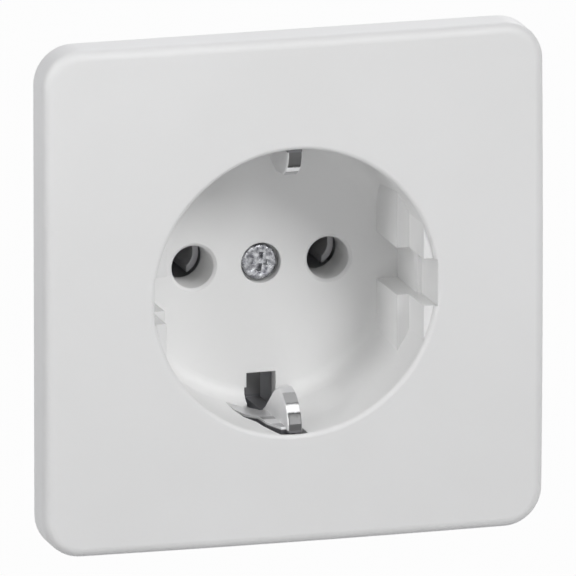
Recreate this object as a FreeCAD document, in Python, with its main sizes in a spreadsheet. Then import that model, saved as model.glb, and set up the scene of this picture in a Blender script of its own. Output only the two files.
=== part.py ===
import FreeCAD, Part
import math
import os
import re
import Sketcher

# Type F wall socket, flush mounted, with a one-piece cover plate.
# Frame: millimetres, +X to the right seen from the front, +Z up, the front faces -Y.
# The origin is on the recess axis in the wall plane, which is the rear of the support plate.
# A level is a Y coordinate: negative in front of the wall, positive inside the wall box.
# A height above the recess floor is counted towards the viewer.

SIZES = (
    ("plate_side", "70", "cover plate, width and height"),
    ("plate_corner", "5.3", "corner radius of the cover plate"),
    ("front_height", "6.5", "crown of the cover in front of the wall"),
    ("crown_sag", "0.7", "fall of the front from its crown to mid edge"),
    ("edge_round", "1.4", "rounding of the front edge"),
    ("skirt_gap", "0.2", "skirt edge to wall"),
    ("skirt_wall", "2.0", "wall of the skirt"),
    ("front_wall", "2.0", "wall of the front at mid edge"),
    ("recess_depth", "17.7", "crown to recess floor"),
    ("recess_radius", "19.2", "recess at its floor"),
    ("wall_taper", "0.5", "mouth of the recess wider than its floor"),
    ("ledge_height", "9.8", "ledge of the side blocks above the floor, and end of the taper"),
    ("rim_round", "0.6", "rounding of the rim"),
    ("floor_round", "2.2", "fillet between floor and wall"),
    ("pot_wall", "1.7", "wall of the recess pot round its mouth"),
    ("floor_wall", "2.0", "floor of the recess pot"),
    ("block_stand", "2.9", "side block out of the recess wall, below the ledge"),
    ("block_high_stand", "1.7", "side block out of the recess wall, above the ledge"),
    ("block_height", "16.7", "top of the side blocks above the floor"),
    ("block_slot", "6.5", "width of the slot in each side block"),
    ("slot_back_gap", "0.1", "back wall of the slot outside the recess wall"),
    ("pin_spacing", "19.0", "between the pin holes"),
    ("pin_hole_radius", "2.95", "pin hole"),
    ("pin_lead", "0.4", "lead-in of the pin holes"),
    ("collar_wall", "1.1", "wall of the pin collars"),
    ("collar_depth", "6.8", "recess floor to the rear of the collars"),
    ("finger_slot", "3.4", "wall slot for a finger, narrow part"),
    ("finger_slot_height", "17.0", "top of the wall slot above the floor"),
    ("foot_slot", "7.6", "wall slot for a finger, wide part"),
    ("foot_slot_height", "5.5", "top of the wide part above the floor"),
    ("floor_slot", "4.1", "floor slot for a finger"),
    ("floor_slot_reach", "4.0", "floor slot inwards from the recess wall"),
    ("floor_band_reach", "1.0", "floor outwards from the recess wall, in the wide part"),
    ("lip_root", "2.4", "lower wall slot, left edge at the floor"),
    ("lip_root_height", "1.5", "lower wall slot, end of that edge"),
    ("lip_notch", "3.3", "lower wall slot, notch over the wing"),
    ("lip_notch_height", "2.9", "lower wall slot, notch over the wing"),
    ("lip_reach", "5.6", "lower wall slot, where it reaches furthest left"),
    ("lip_low_height", "2.0", "lower wall slot, start of that reach"),
    ("lip_high_height", "5.0", "lower wall slot, end of that reach"),
    ("lip_turn", "4.9", "lower wall slot, outer turn"),
    ("lip_turn_height", "8.5", "lower wall slot, outer turn"),
    ("lip_neck", "3.6", "lower wall slot, inner turn"),
    ("lip_neck_height", "10.2", "lower wall slot, inner turn"),
    ("lip_side", "3.3", "lower wall slot, side of its upper part"),
    ("lip_side_height", "12.8", "lower wall slot, side of its upper part"),
    ("lip_end", "2.2", "lower wall slot, left edge at the rim"),
    ("lip_gap", "0.5", "wing of the lower finger to its slot"),
    ("screw_head_radius", "2.5", "centre screw head"),
    ("screw_head_height", "1.25", "centre screw head"),
    ("screw_head_sink", "0.65", "centre screw head below the floor"),
    ("screw_well_radius", "2.8", "well of the centre screw"),
    ("thread_radius", "1.5", "centre screw and claw screws"),
    ("thread_gap", "0.08", "running clearance round a screw"),
    ("centre_screw_length", "8.0", "shank of the centre screw"),
    ("boss_radius", "5.0", "centre boss behind the floor"),
    ("boss_depth", "4.2", "recess floor to the rear of the boss"),
    ("washer_radius", "3.4", "screw retainer"),
    ("washer_sheet", "0.8", "screw retainer"),
    ("fit_gap", "0.3", "clearance between loose neighbours"),
    ("press_gap", "0.02", "clearance round pressed or formed fits"),
    ("pin_press_gap", "0.01", "clearance round the claw pins"),
    ("seat_play", "0.1", "screw retainer in its seat"),
    ("overcut", "1.0", "how far a cut starts or ends outside the material"),
    ("support_sheet", "1.2", "support plate"),
    ("dish_reach", "1.3", "coined middle of the support plate, outside the base housing"),
    ("dish_depth", "0.2", "that middle to the wall"),
    ("support_gap", "0.5", "support plate to skirt"),
    ("support_corner", "3.5", "corner radius of the support plate"),
    ("support_hole_gap", "0.8", "support plate to recess pot"),
    ("box_screw_edge", "2.5", "box screws to the edge of the support plate"),
    ("box_hole_radius", "1.75", "box screw hole"),
    ("box_slot_length", "9.0", "side slots of the support plate"),
    ("rivet_radius", "1.0", "plate rivet"),
    ("rivet_head_radius", "1.9", "plate rivet"),
    ("rivet_head_height", "0.6", "plate rivet"),
    ("rivet_length", "6.0", "plate rivet behind the plate"),
    ("base_reach", "5.2", "base housing outside the recess pot"),
    ("base_flat_depth", "3.8", "flat top and bottom of the base"),
    ("base_front_gap", "0.3", "cover floor to base housing"),
    ("base_rear", "32.5", "rear of the base housing behind the wall plane"),
    ("base_wall", "1.8", "rear wall of the base housing"),
    ("shell_gap", "0.5", "recess pot to the shell of the base"),
    ("bay_half_height", "9.0", "half height of the claw bays and windows"),
    ("bay_depth", "6.0", "claw bay, into the side of the base"),
    ("seat_side_reach", "3.3", "seat of the contact lid, its side inside the recess wall"),
    ("seat_corner", "6.0", "seat, its corners below its top"),
    ("seat_top_reach", "0.4", "seat, its top outside the earth arms"),
    ("seat_top_half", "9.5", "seat, half width at its top"),
    ("lid_sheet", "2.6", "contact lid"),
    ("lid_gap", "0.2", "contact lid to its seat"),
    ("earth_sheet", "1.0", "earth bracket sheet"),
    ("web_half_width", "4.5", "earth bracket, web behind the cover"),
    ("web_end_reach", "7.0", "web keeps its width up to here inside the recess wall"),
    ("web_taper", "2.0", "length over which the web narrows"),
    ("web_end_half", "1.1", "web at the root of a finger"),
    ("strip_width", "2.07", "finger strip"),
    ("strip_fold_gap", "0.5", "gap between the folded cheeks of a finger"),
    ("strip_sheet", "0.78", "face of a finger over the fold gap"),
    ("arm_reach", "1.4", "outer face of the finger arms outside the recess wall"),
    ("finger_height", "16.8", "front of the fingers above the floor"),
    ("tip_start_height", "12.6", "both fingers, start of the bent tip"),
    ("lower_end", "-0.4", "lower finger, outer edge of its tip inside the recess wall"),
    ("lower_front", "0.8", "lower finger, front inside the recess wall"),
    ("lower_lip_height", "16.3", "lower finger, bend near the front"),
    ("lower_lip", "2.1", "lower finger, bend near the front"),
    ("lower_nose_height", "15.3", "lower finger, bend behind that"),
    ("lower_nose", "3.3", "lower finger, bend behind that"),
    ("lower_brow_height", "13.9", "lower finger, bend above the crest"),
    ("lower_brow", "4.3", "lower finger, bend above the crest"),
    ("lower_crest_height", "11.9", "lower finger, crest"),
    ("lower_crest", "4.9", "lower finger, crest inside the recess wall"),
    ("lower_slope_height", "9.6", "lower finger, slope"),
    ("lower_slope", "3.9", "lower finger, slope"),
    ("lower_heel_height", "5.2", "lower finger, heel"),
    ("lower_heel", "0.5", "lower finger, heel"),
    ("upper_end", "-0.8", "upper finger, outer edge of its tip inside the recess wall"),
    ("upper_front", "0.6", "upper finger, front inside the recess wall"),
    ("upper_lip_height", "16.4", "upper finger, bend near the front"),
    ("upper_lip", "1.8", "upper finger, bend near the front"),
    ("upper_nose_height", "15.6", "upper finger, bend behind that"),
    ("upper_nose", "2.8", "upper finger, bend behind that"),
    ("upper_brow_height", "14.2", "upper finger, bend above the crest"),
    ("upper_brow", "3.6", "upper finger, bend above the crest"),
    ("upper_crest_height", "11.0", "upper finger, crest"),
    ("upper_crest", "3.9", "upper finger, crest inside the recess wall"),
    ("upper_slope_height", "8.3", "upper finger, slope"),
    ("upper_slope", "3.0", "upper finger, slope"),
    ("upper_heel_height", "6.0", "upper finger, heel"),
    ("upper_heel", "0.8", "upper finger, heel"),
    ("heel_end_height", "3.2", "both fingers, where the heel meets the arm"),
    ("bush_radius", "2.45", "centre bush barrel"),
    ("bush_flange_radius", "3.3", "centre bush flange"),
    ("bush_flange_sheet", "0.8", "centre bush flange"),
    ("bush_length", "5.0", "centre bush barrel"),
    ("strap_sheet", "0.8", "earth strap"),
    ("strap_half_width", "3.0", "earth strap"),
    ("strap_top", "3.6", "upper end of the strap from the axis"),
    ("strap_reach", "27.0", "rear end of the strap behind the wall plane"),
    ("earth_block_half", "5.6", "earth terminal block, half width"),
    ("earth_block_top", "14.0", "earth terminal block, top below the axis"),
    ("block_thick", "5.6", "terminal blocks, up and down"),
    ("block_length", "8.0", "terminal blocks, front to rear"),
    ("earth_screw_pitch", "5.8", "between the earth screws"),
    ("live_block_half", "5.5", "live terminal block, half width"),
    ("live_block_offset", "0.5", "live terminal block outside the pin axis"),
    ("live_block_bottom", "8.5", "live terminal block, bottom above the axis"),
    ("live_screw_pitch", "5.8", "between the screws of a live terminal"),
    ("chamber_gap", "0.25", "chamber wall to what it holds"),
    ("grip_radius", "2.25", "inside of the live contact round the pin"),
    ("contact_sheet", "0.8", "live contact"),
    ("contact_length", "9.0", "live contact, front to rear"),
    ("contact_mouth", "1.4", "half opening of the live contact"),
    ("clamp_radius", "1.6", "terminal screw shank"),
    ("clamp_head_radius", "2.5", "terminal screw head"),
    ("clamp_head_height", "1.4", "terminal screw head"),
    ("clamp_length", "3.6", "terminal screw shank"),
    ("clamp_gap", "0.05", "running clearance of the terminal screws"),
    ("wire_floor", "0.8", "material left under the wire holes"),
    ("wire_radius", "1.5", "wire hole in a terminal block"),
    ("wire_entry_radius", "1.8", "wire entry in the base housing"),
    ("wire_front", "5.2", "wire axis in front of the chamber end"),
    ("lid_screw_across", "9.6", "lid screws from the axis, across"),
    ("lid_screw_inset", "3.8", "lid screws inside the top or bottom of the seat"),
    ("lid_screw_radius", "1.1", "lid screw shank"),
    ("lid_screw_head", "2.0", "lid screw head radius"),
    ("lid_screw_head_height", "1.3", "lid screw head"),
    ("lid_screw_length", "6.4", "lid screw shank"),
    ("claw_pivot_depth", "7.6", "claw pivot inside the side of the base"),
    ("claw_pivot_y", "15.9", "claw pivot behind the wall plane"),
    ("claw_pin_radius", "1.0", "claw pin"),
    ("claw_pin_length", "14.6", "claw pin"),
    ("claw_eye_radius", "2.1", "eye of the claw"),
    ("claw_eye_gap", "0.06", "running clearance of the eye"),
    ("claw_width", "8.0", "claw, up and down"),
    ("claw_sheet", "1.2", "claw"),
    ("claw_root", "1.2", "start of the claw lug from its pivot"),
    ("claw_tilt", "10.0", "slope of the claw lug at rest, degrees"),
    ("claw_leg", "7.5", "inner face of the claw leg from its pivot"),
    ("claw_reach", "9.5", "claw tip behind its pivot"),
    ("claw_tip", "1.5", "length of the bent tip"),
    ("claw_tip_out", "0.2", "tip stands out from the leg"),
    ("claw_screw_depth", "2.0", "claw screw inside the side of the base"),
    ("claw_hole_radius", "2.1", "hole in the claw lug"),
    ("claw_head_radius", "2.5", "claw screw head"),
    ("claw_head_height", "1.7", "claw screw head"),
    ("claw_screw_length", "24.2", "claw screw shank"),
    ("drive_slot", "0.8", "width of the screw slots"),
    ("drive_cross", "0.9", "width of the cross recess"),
    ("drive_cross_length", "3.0", "length of the cross recess"),
    ("centre_screw_turn", "-8.0", "slot of the centre screw, degrees from level"),
)

DERIVED = (
    ("plate_half", "plate_side / 2"),
    ("crown_radius", "plate_half * plate_half / (2 * crown_sag) + crown_sag / 2"),
    ("mouth_radius", "recess_radius + wall_taper"),
    ("block_flat", "recess_radius - block_stand"),
    ("block_step", "mouth_radius - block_high_stand"),
    ("slot_back", "mouth_radius + slot_back_gap"),
    ("floor_slot_start", "recess_radius - floor_slot_reach"),
    ("floor_band_end", "recess_radius + floor_band_reach"),
    ("underside", "front_height - crown_sag - front_wall"),
    ("floor_y", "recess_depth - front_height"),
    ("floor_rear_y", "floor_y + floor_wall"),
    ("ledge_y", "floor_y - ledge_height"),
    ("pot_radius", "mouth_radius + pot_wall"),
    ("pot_cut", "pot_radius + fit_gap"),
    ("pin_x", "pin_spacing / 2"),
    ("collar_radius", "pin_hole_radius + collar_wall"),
    ("collar_y", "floor_y + collar_depth"),
    ("head_y", "floor_y + screw_head_sink"),
    ("head_seat_y", "head_y + screw_head_height"),
    ("web_y", "floor_y + boss_depth"),
    ("lid_y", "web_y + earth_sheet"),
    ("chamber_y", "lid_y + lid_sheet"),
    ("base_front", "floor_rear_y + base_front_gap"),
    ("chamber_end_y", "base_rear - base_wall"),
    ("block_front_y", "chamber_end_y - block_length"),
    ("wire_y", "chamber_end_y - wire_front"),
    ("support_half", "plate_half - skirt_wall - support_gap"),
    ("support_hole", "pot_radius + support_hole_gap"),
    ("box_spacing", "2 * (support_half - box_screw_edge)"),
    ("shell_inner", "pot_radius + shell_gap"),
    ("base_radius", "pot_radius + base_reach"),
    ("base_flat", "base_radius - base_flat_depth"),
    ("bay_flat", "base_radius - bay_depth"),
    ("dish_radius", "base_radius + dish_reach"),
    ("rivet_place", "(shell_inner + base_radius) / 2 * cos(45deg)"),
    ("claw_pivot_x", "base_radius - claw_pivot_depth"),
    ("claw_screw_x", "base_radius - claw_screw_depth"),
    ("arm_outer", "recess_radius + arm_reach"),
    ("seat_half_width", "recess_radius - seat_side_reach"),
    ("seat_top", "arm_outer + seat_top_reach"),
    ("seat_side", "seat_top - seat_corner"),
    ("lid_screw_up", "seat_top - lid_screw_inset"),
    ("web_straight", "recess_radius - web_end_reach"),
    ("washer_y", "web_y - washer_sheet - seat_play"),
    ("live_block_z", "live_block_bottom + block_thick / 2"),
    ("earth_block_z", "-(earth_block_top + block_thick / 2)"),
    ("live_block_x", "pin_x + live_block_offset"),
    ("live_inner_x", "live_block_x - live_screw_pitch / 2"),
    ("live_outer_x", "live_block_x + live_screw_pitch / 2"),
    ("earth_screw_x", "earth_screw_pitch / 2"),
    ("screw_hole_radius", "thread_radius + thread_gap"),
    ("clamp_hole_radius", "clamp_radius + clamp_gap"),
)

doc = FreeCAD.newDocument("wall_socket")
sheet = doc.addObject("Spreadsheet::Sheet", "sizes")
workings = doc.addObject("Spreadsheet::Sheet", "workings")
ALIASES = set()
KNOWN = {}


def fill_sheet():
    """Write the driving sizes and what follows from them, one row each."""
    row = 1
    for alias, text, note in SIZES:
        sheet.set("A%d" % row, note)
        sheet.set("B%d" % row, text)
        sheet.setAlias("B%d" % row, alias)
        ALIASES.add(alias)
        row += 1
    sheet.recompute()
    for alias, formula in DERIVED:
        sheet.set("A%d" % row, "derived")
        sheet.set("B%d" % row, "=" + formula)
        sheet.setAlias("B%d" % row, alias)
        ALIASES.add(alias)
        row += 1
        sheet.recompute()


def bound(formula):
    """The formula with every alias read from the sheet."""
    return re.sub(r"[a-z_]+", lambda word: "sizes." + word.group(0)
                  if word.group(0) in ALIASES else word.group(0), formula)


def value(formula):
    """The number that a formula of aliases stands for, worked out in a sheet of its own."""
    if formula not in KNOWN:
        workings.set("A1", "=" + bound(formula))
        workings.recompute()
        KNOWN[formula] = float(workings.get("A1"))
    return KNOWN[formula]


def vector(across, up):
    return FreeCAD.Vector(across, up, 0)


def new_body(label):
    body = doc.addObject("PartDesign::Body", label)
    body.Label = label
    return body


def new_sketch(body, plane, name, level="0"):
    """A sketch on one of the body's own origin planes, moved along its normal.

    On XZ the normal points to the viewer, so its level is -Y. On XY it is +Z, on YZ it is +X."""
    sketch = body.newObject("Sketcher::SketchObject", name)
    origin = [item for item in body.Origin.OriginFeatures if item.Role == plane + "_Plane"]
    sketch.AttachmentSupport = (origin[0], [""])
    sketch.MapMode = "FlatFace"
    sketch.AttachmentOffset = FreeCAD.Placement(FreeCAD.Vector(0, 0, value(level)), FreeCAD.Rotation())
    sketch.setExpression("AttachmentOffset.Base.z", bound(level))
    return sketch


def bind(sketch, constraint, formula):
    """Add a constraint that keeps to a formula."""
    number = sketch.addConstraint(constraint)
    name = "size_%d" % number
    sketch.renameConstraint(number, name)
    sketch.setExpression("Constraints." + name, bound(formula))


def locate(sketch, item, point, across, up):
    """Hold one point of an item at a place given by two formulas."""
    bind(sketch, Sketcher.Constraint("DistanceX", -1, 1, item, point, value(across)), across)
    bind(sketch, Sketcher.Constraint("DistanceY", -1, 1, item, point, value(up)), up)


def polygon(sketch, corners):
    """A closed outline of straight runs; each corner is two formulas."""
    points = [vector(value(across), value(up)) for across, up in corners]
    first = sketch.GeometryCount
    count = len(points)
    for index in range(count):
        sketch.addGeometry(Part.LineSegment(points[index], points[(index + 1) % count]), False)
    for index in range(count):
        following = first + (index + 1) % count
        sketch.addConstraint(Sketcher.Constraint("Coincident", first + index, 2, following, 1))
    for index, (across, up) in enumerate(corners):
        locate(sketch, first + index, 1, across, up)


def rectangle(sketch, left, right, low, high):
    polygon(sketch, ((left, low), (right, low), (right, high), (left, high)))


def circle(sketch, across, up, radius):
    centre = vector(value(across), value(up))
    item = sketch.addGeometry(Part.Circle(centre, FreeCAD.Vector(0, 0, 1), value(radius)), False)
    locate(sketch, item, 3, across, up)
    bind(sketch, Sketcher.Constraint("Radius", item, value(radius)), radius)


def arc(sketch, centre, radius, start, end):
    """An arc drawn anticlockwise; start and end are degrees."""
    ring = Part.Circle(centre, FreeCAD.Vector(0, 0, 1), radius)
    return sketch.addGeometry(Part.ArcOfCircle(ring, math.radians(start), math.radians(end)), False)


def rounded_square(sketch, half, corner):
    """A square round the origin with round corners."""
    side = value(half)
    inner = side - value(corner)
    ends = ((-inner, -side, inner, -side), (side, -inner, side, inner),
            (inner, side, -inner, side), (-side, inner, -side, -inner))
    lines = [sketch.addGeometry(Part.LineSegment(vector(a, b), vector(c, d)), False)
             for a, b, c, d in ends]
    places = ((inner, -inner, -90), (inner, inner, 0), (-inner, inner, 90), (-inner, -inner, 180))
    arcs = [arc(sketch, vector(across, up), value(corner), start, start + 90)
            for across, up, start in places]
    for index in range(4):
        following = lines[(index + 1) % 4]
        sketch.addConstraint(Sketcher.Constraint("Tangent", lines[index], 2, arcs[index], 1))
        sketch.addConstraint(Sketcher.Constraint("Tangent", arcs[index], 2, following, 1))
        bind(sketch, Sketcher.Constraint("Radius", arcs[index], value(corner)), corner)
    bind(sketch, Sketcher.Constraint("DistanceY", -1, 1, lines[0], 1, -side), "-" + half)
    bind(sketch, Sketcher.Constraint("DistanceX", -1, 1, lines[1], 1, side), half)
    bind(sketch, Sketcher.Constraint("DistanceY", -1, 1, lines[2], 1, side), half)
    bind(sketch, Sketcher.Constraint("DistanceX", -1, 1, lines[3], 1, -side), "-" + half)


def segment(sketch, flat, radius, side):
    """A circle segment beyond a chord at x = flat, on the right (1) or the left (-1)."""
    chord = value(flat)
    size = value(radius)
    rise = (size * size - chord * chord) ** 0.5
    ring = Part.Circle(vector(0, 0), FreeCAD.Vector(0, 0, 1), size)
    low = vector(side * chord, -rise)
    high = vector(side * chord, rise)
    start, end = (low, high) if side > 0 else (high, low)
    bow = Part.ArcOfCircle(ring, ring.parameter(start), ring.parameter(end))
    bow_item = sketch.addGeometry(bow, False)
    line_item = sketch.addGeometry(Part.LineSegment(end, start), False)
    sketch.addConstraint(Sketcher.Constraint("Coincident", bow_item, 2, line_item, 1))
    sketch.addConstraint(Sketcher.Constraint("Coincident", line_item, 2, bow_item, 1))
    sketch.addConstraint(Sketcher.Constraint("Coincident", bow_item, 3, -1, 1))
    bind(sketch, Sketcher.Constraint("Radius", bow_item, size), radius)
    sketch.addConstraint(Sketcher.Constraint("Vertical", line_item))
    formula = flat if side > 0 else "-" + flat
    bind(sketch, Sketcher.Constraint("DistanceX", -1, 1, line_item, 1, side * chord), formula)


def pad(body, sketch, length, midplane=False):
    feature = body.newObject("PartDesign::Pad", sketch.Name + "_pad")
    feature.Profile = sketch
    feature.Midplane = midplane
    feature.Length = value(length)
    feature.setExpression("Length", bound(length))
    sketch.Visibility = False
    return feature


def pocket(body, sketch, length, forward=False, midplane=False):
    """Cut away from the side that the sketch faces, or towards it when forward."""
    feature = body.newObject("PartDesign::Pocket", sketch.Name + "_cut")
    feature.Profile = sketch
    feature.Reversed = forward
    feature.Midplane = midplane
    feature.Length = value(length)
    feature.setExpression("Length", bound(length))
    sketch.Visibility = False
    return feature


def groove(body, sketch):
    feature = body.newObject("PartDesign::Groove", sketch.Name + "_cut")
    feature.Profile = sketch
    feature.ReferenceAxis = (sketch, ["V_Axis"])
    feature.Angle = 360
    sketch.Visibility = False
    return feature


def edge_names(shape, wanted):
    """Names of the edges for which the test holds."""
    return ["Edge%d" % (index + 1) for index, edge in enumerate(shape.Edges) if wanted(edge)]


def dress(body, kind, name, wanted, size):
    """A fillet or chamfer on the edges of the body's tip for which the test holds."""
    doc.recompute()
    tip = body.Tip
    names = edge_names(tip.Shape, wanted)
    if not names:
        raise RuntimeError("no edge found for " + name)
    feature = body.newObject("PartDesign::" + kind, name)
    feature.Base = (tip, names)
    prop = "Radius" if kind == "Fillet" else "Size"
    setattr(feature, prop, value(size))
    feature.setExpression(prop, bound(size))
    return feature


def is_ring(edge, radius, level=None):
    """A circle of that radius about an axis along Y, at that level if one is given."""
    curve = edge.Curve
    if curve.TypeId != "Part::GeomCircle" or abs(curve.Radius - radius) > 0.001:
        return False
    if abs(abs(curve.Axis.y) - 1) > 0.001:
        return False
    return level is None or abs(curve.Center.y - level) < 0.001


def place(item, across, level, up, turn_axis=None, turn="0"):
    """Bind the item's place to formulas; it may be turned about one axis."""
    axis = turn_axis or FreeCAD.Vector(0, 0, 1)
    base = FreeCAD.Vector(value(across), value(level), value(up))
    item.Placement = FreeCAD.Placement(base, FreeCAD.Rotation(axis, value(turn)))
    item.setExpression("Placement.Base.x", bound(across))
    item.setExpression("Placement.Base.y", bound(level))
    item.setExpression("Placement.Base.z", bound(up))


def signed(side, formula):
    """The formula for the right side (1), or its negative for the left (-1)."""
    return formula if side > 0 else "-(" + formula + ")"


def span(side, near, far):
    """Two formulas in rising order on one side of the axis."""
    return (near, far) if side > 0 else (signed(side, far), signed(side, near))


# The cover is one moulding: crowned square plate, skirt, and the recess pot with its collars.
def make_cover():
    body = new_body("cover")
    face = new_sketch(body, "XZ", "cover_plate", "skirt_gap")
    rounded_square(face, "plate_half", "plate_corner")
    pad(body, face, "front_height - skirt_gap")
    hollow = new_sketch(body, "XZ", "cover_hollow", "skirt_gap")
    rounded_square(hollow, "(plate_half - skirt_wall)", "(plate_corner - skirt_wall)")
    pocket(body, hollow, "underside - skirt_gap", forward=True)
    pot = new_sketch(body, "XZ", "cover_pot", "-floor_rear_y")
    circle(pot, "0", "0", "pot_radius")
    pad(body, pot, "floor_rear_y + underside + front_wall / 4")
    boss = new_sketch(body, "XZ", "cover_boss", "-web_y")
    circle(boss, "0", "0", "boss_radius")
    pad(body, boss, "boss_depth - floor_wall / 2")
    collars = new_sketch(body, "XZ", "cover_collars", "-collar_y")
    for side in (-1, 1):
        circle(collars, signed(side, "pin_x"), "0", "collar_radius")
    pad(body, collars, "collar_depth - floor_wall / 2")
    crown_cut(body)
    recess = new_sketch(body, "XY", "cover_recess")
    polygon(recess, (("0", "floor_y"), ("recess_radius", "floor_y"), ("mouth_radius", "ledge_y"),
                     ("mouth_radius", "-front_height - overcut"),
                     ("0", "-front_height - overcut")))
    groove(body, recess)
    dress(body, "Fillet", "cover_edge", is_front_edge, "edge_round")
    dress(body, "Fillet", "cover_rim", is_rim_edge, "rim_round")
    dress(body, "Fillet", "cover_floor_round",
          lambda edge: is_ring(edge, value("recess_radius"), value("floor_y")), "floor_round")
    side_blocks(body)
    finger_slots(body)
    floor_holes(body)
    return body


def crown_cut(body):
    """Shape the front to a shallow dome: a cut above an arc, turned about the recess axis."""
    sketch = new_sketch(body, "XY", "cover_crown")
    radius = value("crown_radius")
    top = value("front_height")
    reach = value("plate_half * 1.5")
    fall = radius - (radius * radius - reach * reach) ** 0.5
    apex = vector(0, -top)
    rim = vector(reach, fall - top)
    above = value("2 * overcut")
    outer = vector(reach, -top - above)
    inner = vector(0, -top - above)
    ring = Part.Circle(vector(0, radius - top), FreeCAD.Vector(0, 0, 1), radius)
    bow = sketch.addGeometry(Part.ArcOfCircle(ring, ring.parameter(apex), ring.parameter(rim)), False)
    first = sketch.addGeometry(Part.LineSegment(rim, outer), False)
    second = sketch.addGeometry(Part.LineSegment(outer, inner), False)
    third = sketch.addGeometry(Part.LineSegment(inner, apex), False)
    for one, other in ((bow, first), (first, second), (second, third), (third, bow)):
        sketch.addConstraint(Sketcher.Constraint("Coincident", one, 2, other, 1))
    locate(sketch, bow, 3, "0", "crown_radius - front_height")
    bind(sketch, Sketcher.Constraint("Radius", bow, radius), "crown_radius")
    sketch.addConstraint(Sketcher.Constraint("PointOnObject", bow, 1, -2))
    bind(sketch, Sketcher.Constraint("DistanceX", -1, 1, bow, 2, reach), "plate_half * 1.5")
    locate(sketch, second, 1, "plate_half * 1.5", "-front_height - 2 * overcut")
    locate(sketch, second, 2, "0", "-front_height - 2 * overcut")
    groove(body, sketch)


def is_front_edge(edge):
    """Edges between the crowned front and the sides of the plate."""
    box = edge.BoundBox
    half = value("plate_half")
    reach = max(abs(box.XMin), abs(box.XMax), abs(box.ZMin), abs(box.ZMax))
    level = -value("underside") - 0.2
    return abs(reach - half) < 0.01 and box.YMax < level


def is_rim_edge(edge):
    """The circle where the recess meets the crowned front."""
    curve = edge.Curve
    if curve.TypeId != "Part::GeomCircle":
        return False
    return abs(curve.Radius - value("mouth_radius")) < 0.001 and edge.BoundBox.YMax < value("ledge_y") - 1


def side_blocks(body):
    """The two blocks that fill the sides of the recess, in two steps, each split by a slot."""
    low = new_sketch(body, "XZ", "block_low", "-floor_y - floor_wall / 2")
    for side in (-1, 1):
        segment(low, "block_flat", "(recess_radius + pot_wall / 2)", side)
    pad(body, low, "ledge_height + floor_wall / 2")
    high = new_sketch(body, "XZ", "block_high", "-ledge_y - ledge_height / 4")
    for side in (-1, 1):
        segment(high, "block_step", "(mouth_radius + pot_wall / 4)", side)
    pad(body, high, "block_height - ledge_height + ledge_height / 4")
    deep = new_sketch(body, "XZ", "block_slot_low", "front_height + overcut")
    shallow = new_sketch(body, "XZ", "block_slot_high", "front_height + overcut")
    for side in (-1, 1):
        left, right = span(side, "block_flat - 2 * overcut", "recess_radius")
        rectangle(deep, left, right, "-block_slot / 2", "block_slot / 2")
        left, right = span(side, "block_flat - 2 * overcut", "slot_back")
        rectangle(shallow, left, right, "-block_slot / 2", "block_slot / 2")
    pocket(body, deep, "front_height + overcut + floor_y")
    pocket(body, shallow, "front_height + overcut + ledge_y")


def finger_slots(body):
    """The openings for the earth fingers, above and below, in the wall and in the floor."""
    narrow = new_sketch(body, "XZ", "finger_slot_narrow", "finger_slot_height - floor_y")
    wide = new_sketch(body, "XZ", "finger_slot_wide", "foot_slot_height - floor_y")
    band = new_sketch(body, "XZ", "finger_slot_band", "-floor_y + overcut / 2")
    floor = new_sketch(body, "XZ", "finger_slot_floor", "-floor_y + overcut / 2")
    for side in (-1, 1):
        low, high = span(side, "recess_radius - 2 * overcut", "pot_cut")
        rectangle(narrow, "-finger_slot / 2", "finger_slot / 2", low, high)
        left = "-lip_root" if side < 0 else "-foot_slot / 2"
        rectangle(wide, left, "foot_slot / 2", low, high)
        low, high = span(side, "floor_band_end", "pot_cut")
        rectangle(band, "-foot_slot / 2", "foot_slot / 2", low, high)
        low, high = span(side, "floor_slot_start", "pot_cut")
        rectangle(floor, "-floor_slot / 2", "floor_slot / 2", low, high)
    pocket(body, narrow, "finger_slot_height - foot_slot_height + overcut / 2")
    pocket(body, wide, "foot_slot_height")
    pocket(body, band, "floor_wall + overcut")
    pocket(body, floor, "floor_wall + overcut")
    lip = new_sketch(body, "XY", "finger_slot_lip", "-recess_radius + 2 * overcut")
    polygon(lip, (("-lip_root", "floor_y + overcut"), ("-lip_root", "floor_y - lip_root_height"),
                  ("-lip_notch", "floor_y - lip_notch_height"), ("-lip_reach", "floor_y - lip_low_height"),
                  ("-lip_reach", "floor_y - lip_high_height"), ("-lip_turn", "floor_y - lip_turn_height"),
                  ("-lip_neck", "floor_y - lip_neck_height"), ("-lip_side", "floor_y - lip_side_height"),
                  ("-lip_end", "floor_y - finger_slot_height"), ("0", "floor_y - finger_slot_height"),
                  ("0", "floor_y + overcut")))
    pocket(body, lip, "pot_cut - recess_radius + 2 * overcut")


def floor_holes(body):
    """Pin holes, and the stepped hole of the centre screw with the seat of its retainer."""
    pins = new_sketch(body, "XZ", "pin_holes", "-floor_y + overcut")
    for side in (-1, 1):
        circle(pins, signed(side, "pin_x"), "0", "pin_hole_radius")
    pocket(body, pins, "collar_depth + 2 * overcut")
    dress(body, "Chamfer", "pin_lead_in",
          lambda edge: is_ring(edge, value("pin_hole_radius"), value("floor_y")), "pin_lead")
    well = new_sketch(body, "XZ", "screw_well", "-floor_y + overcut")
    circle(well, "0", "0", "screw_well_radius")
    pocket(body, well, "overcut + screw_head_sink + screw_head_height")
    hole = new_sketch(body, "XZ", "screw_hole", "-floor_y + overcut")
    circle(hole, "0", "0", "screw_hole_radius")
    pocket(body, hole, "overcut + boss_depth + overcut")
    seat = new_sketch(body, "XZ", "retainer_seat", "-web_y")
    circle(seat, "0", "0", "washer_radius + fit_gap / 2")
    pocket(body, seat, "washer_sheet + 2 * seat_play", forward=True)


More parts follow.
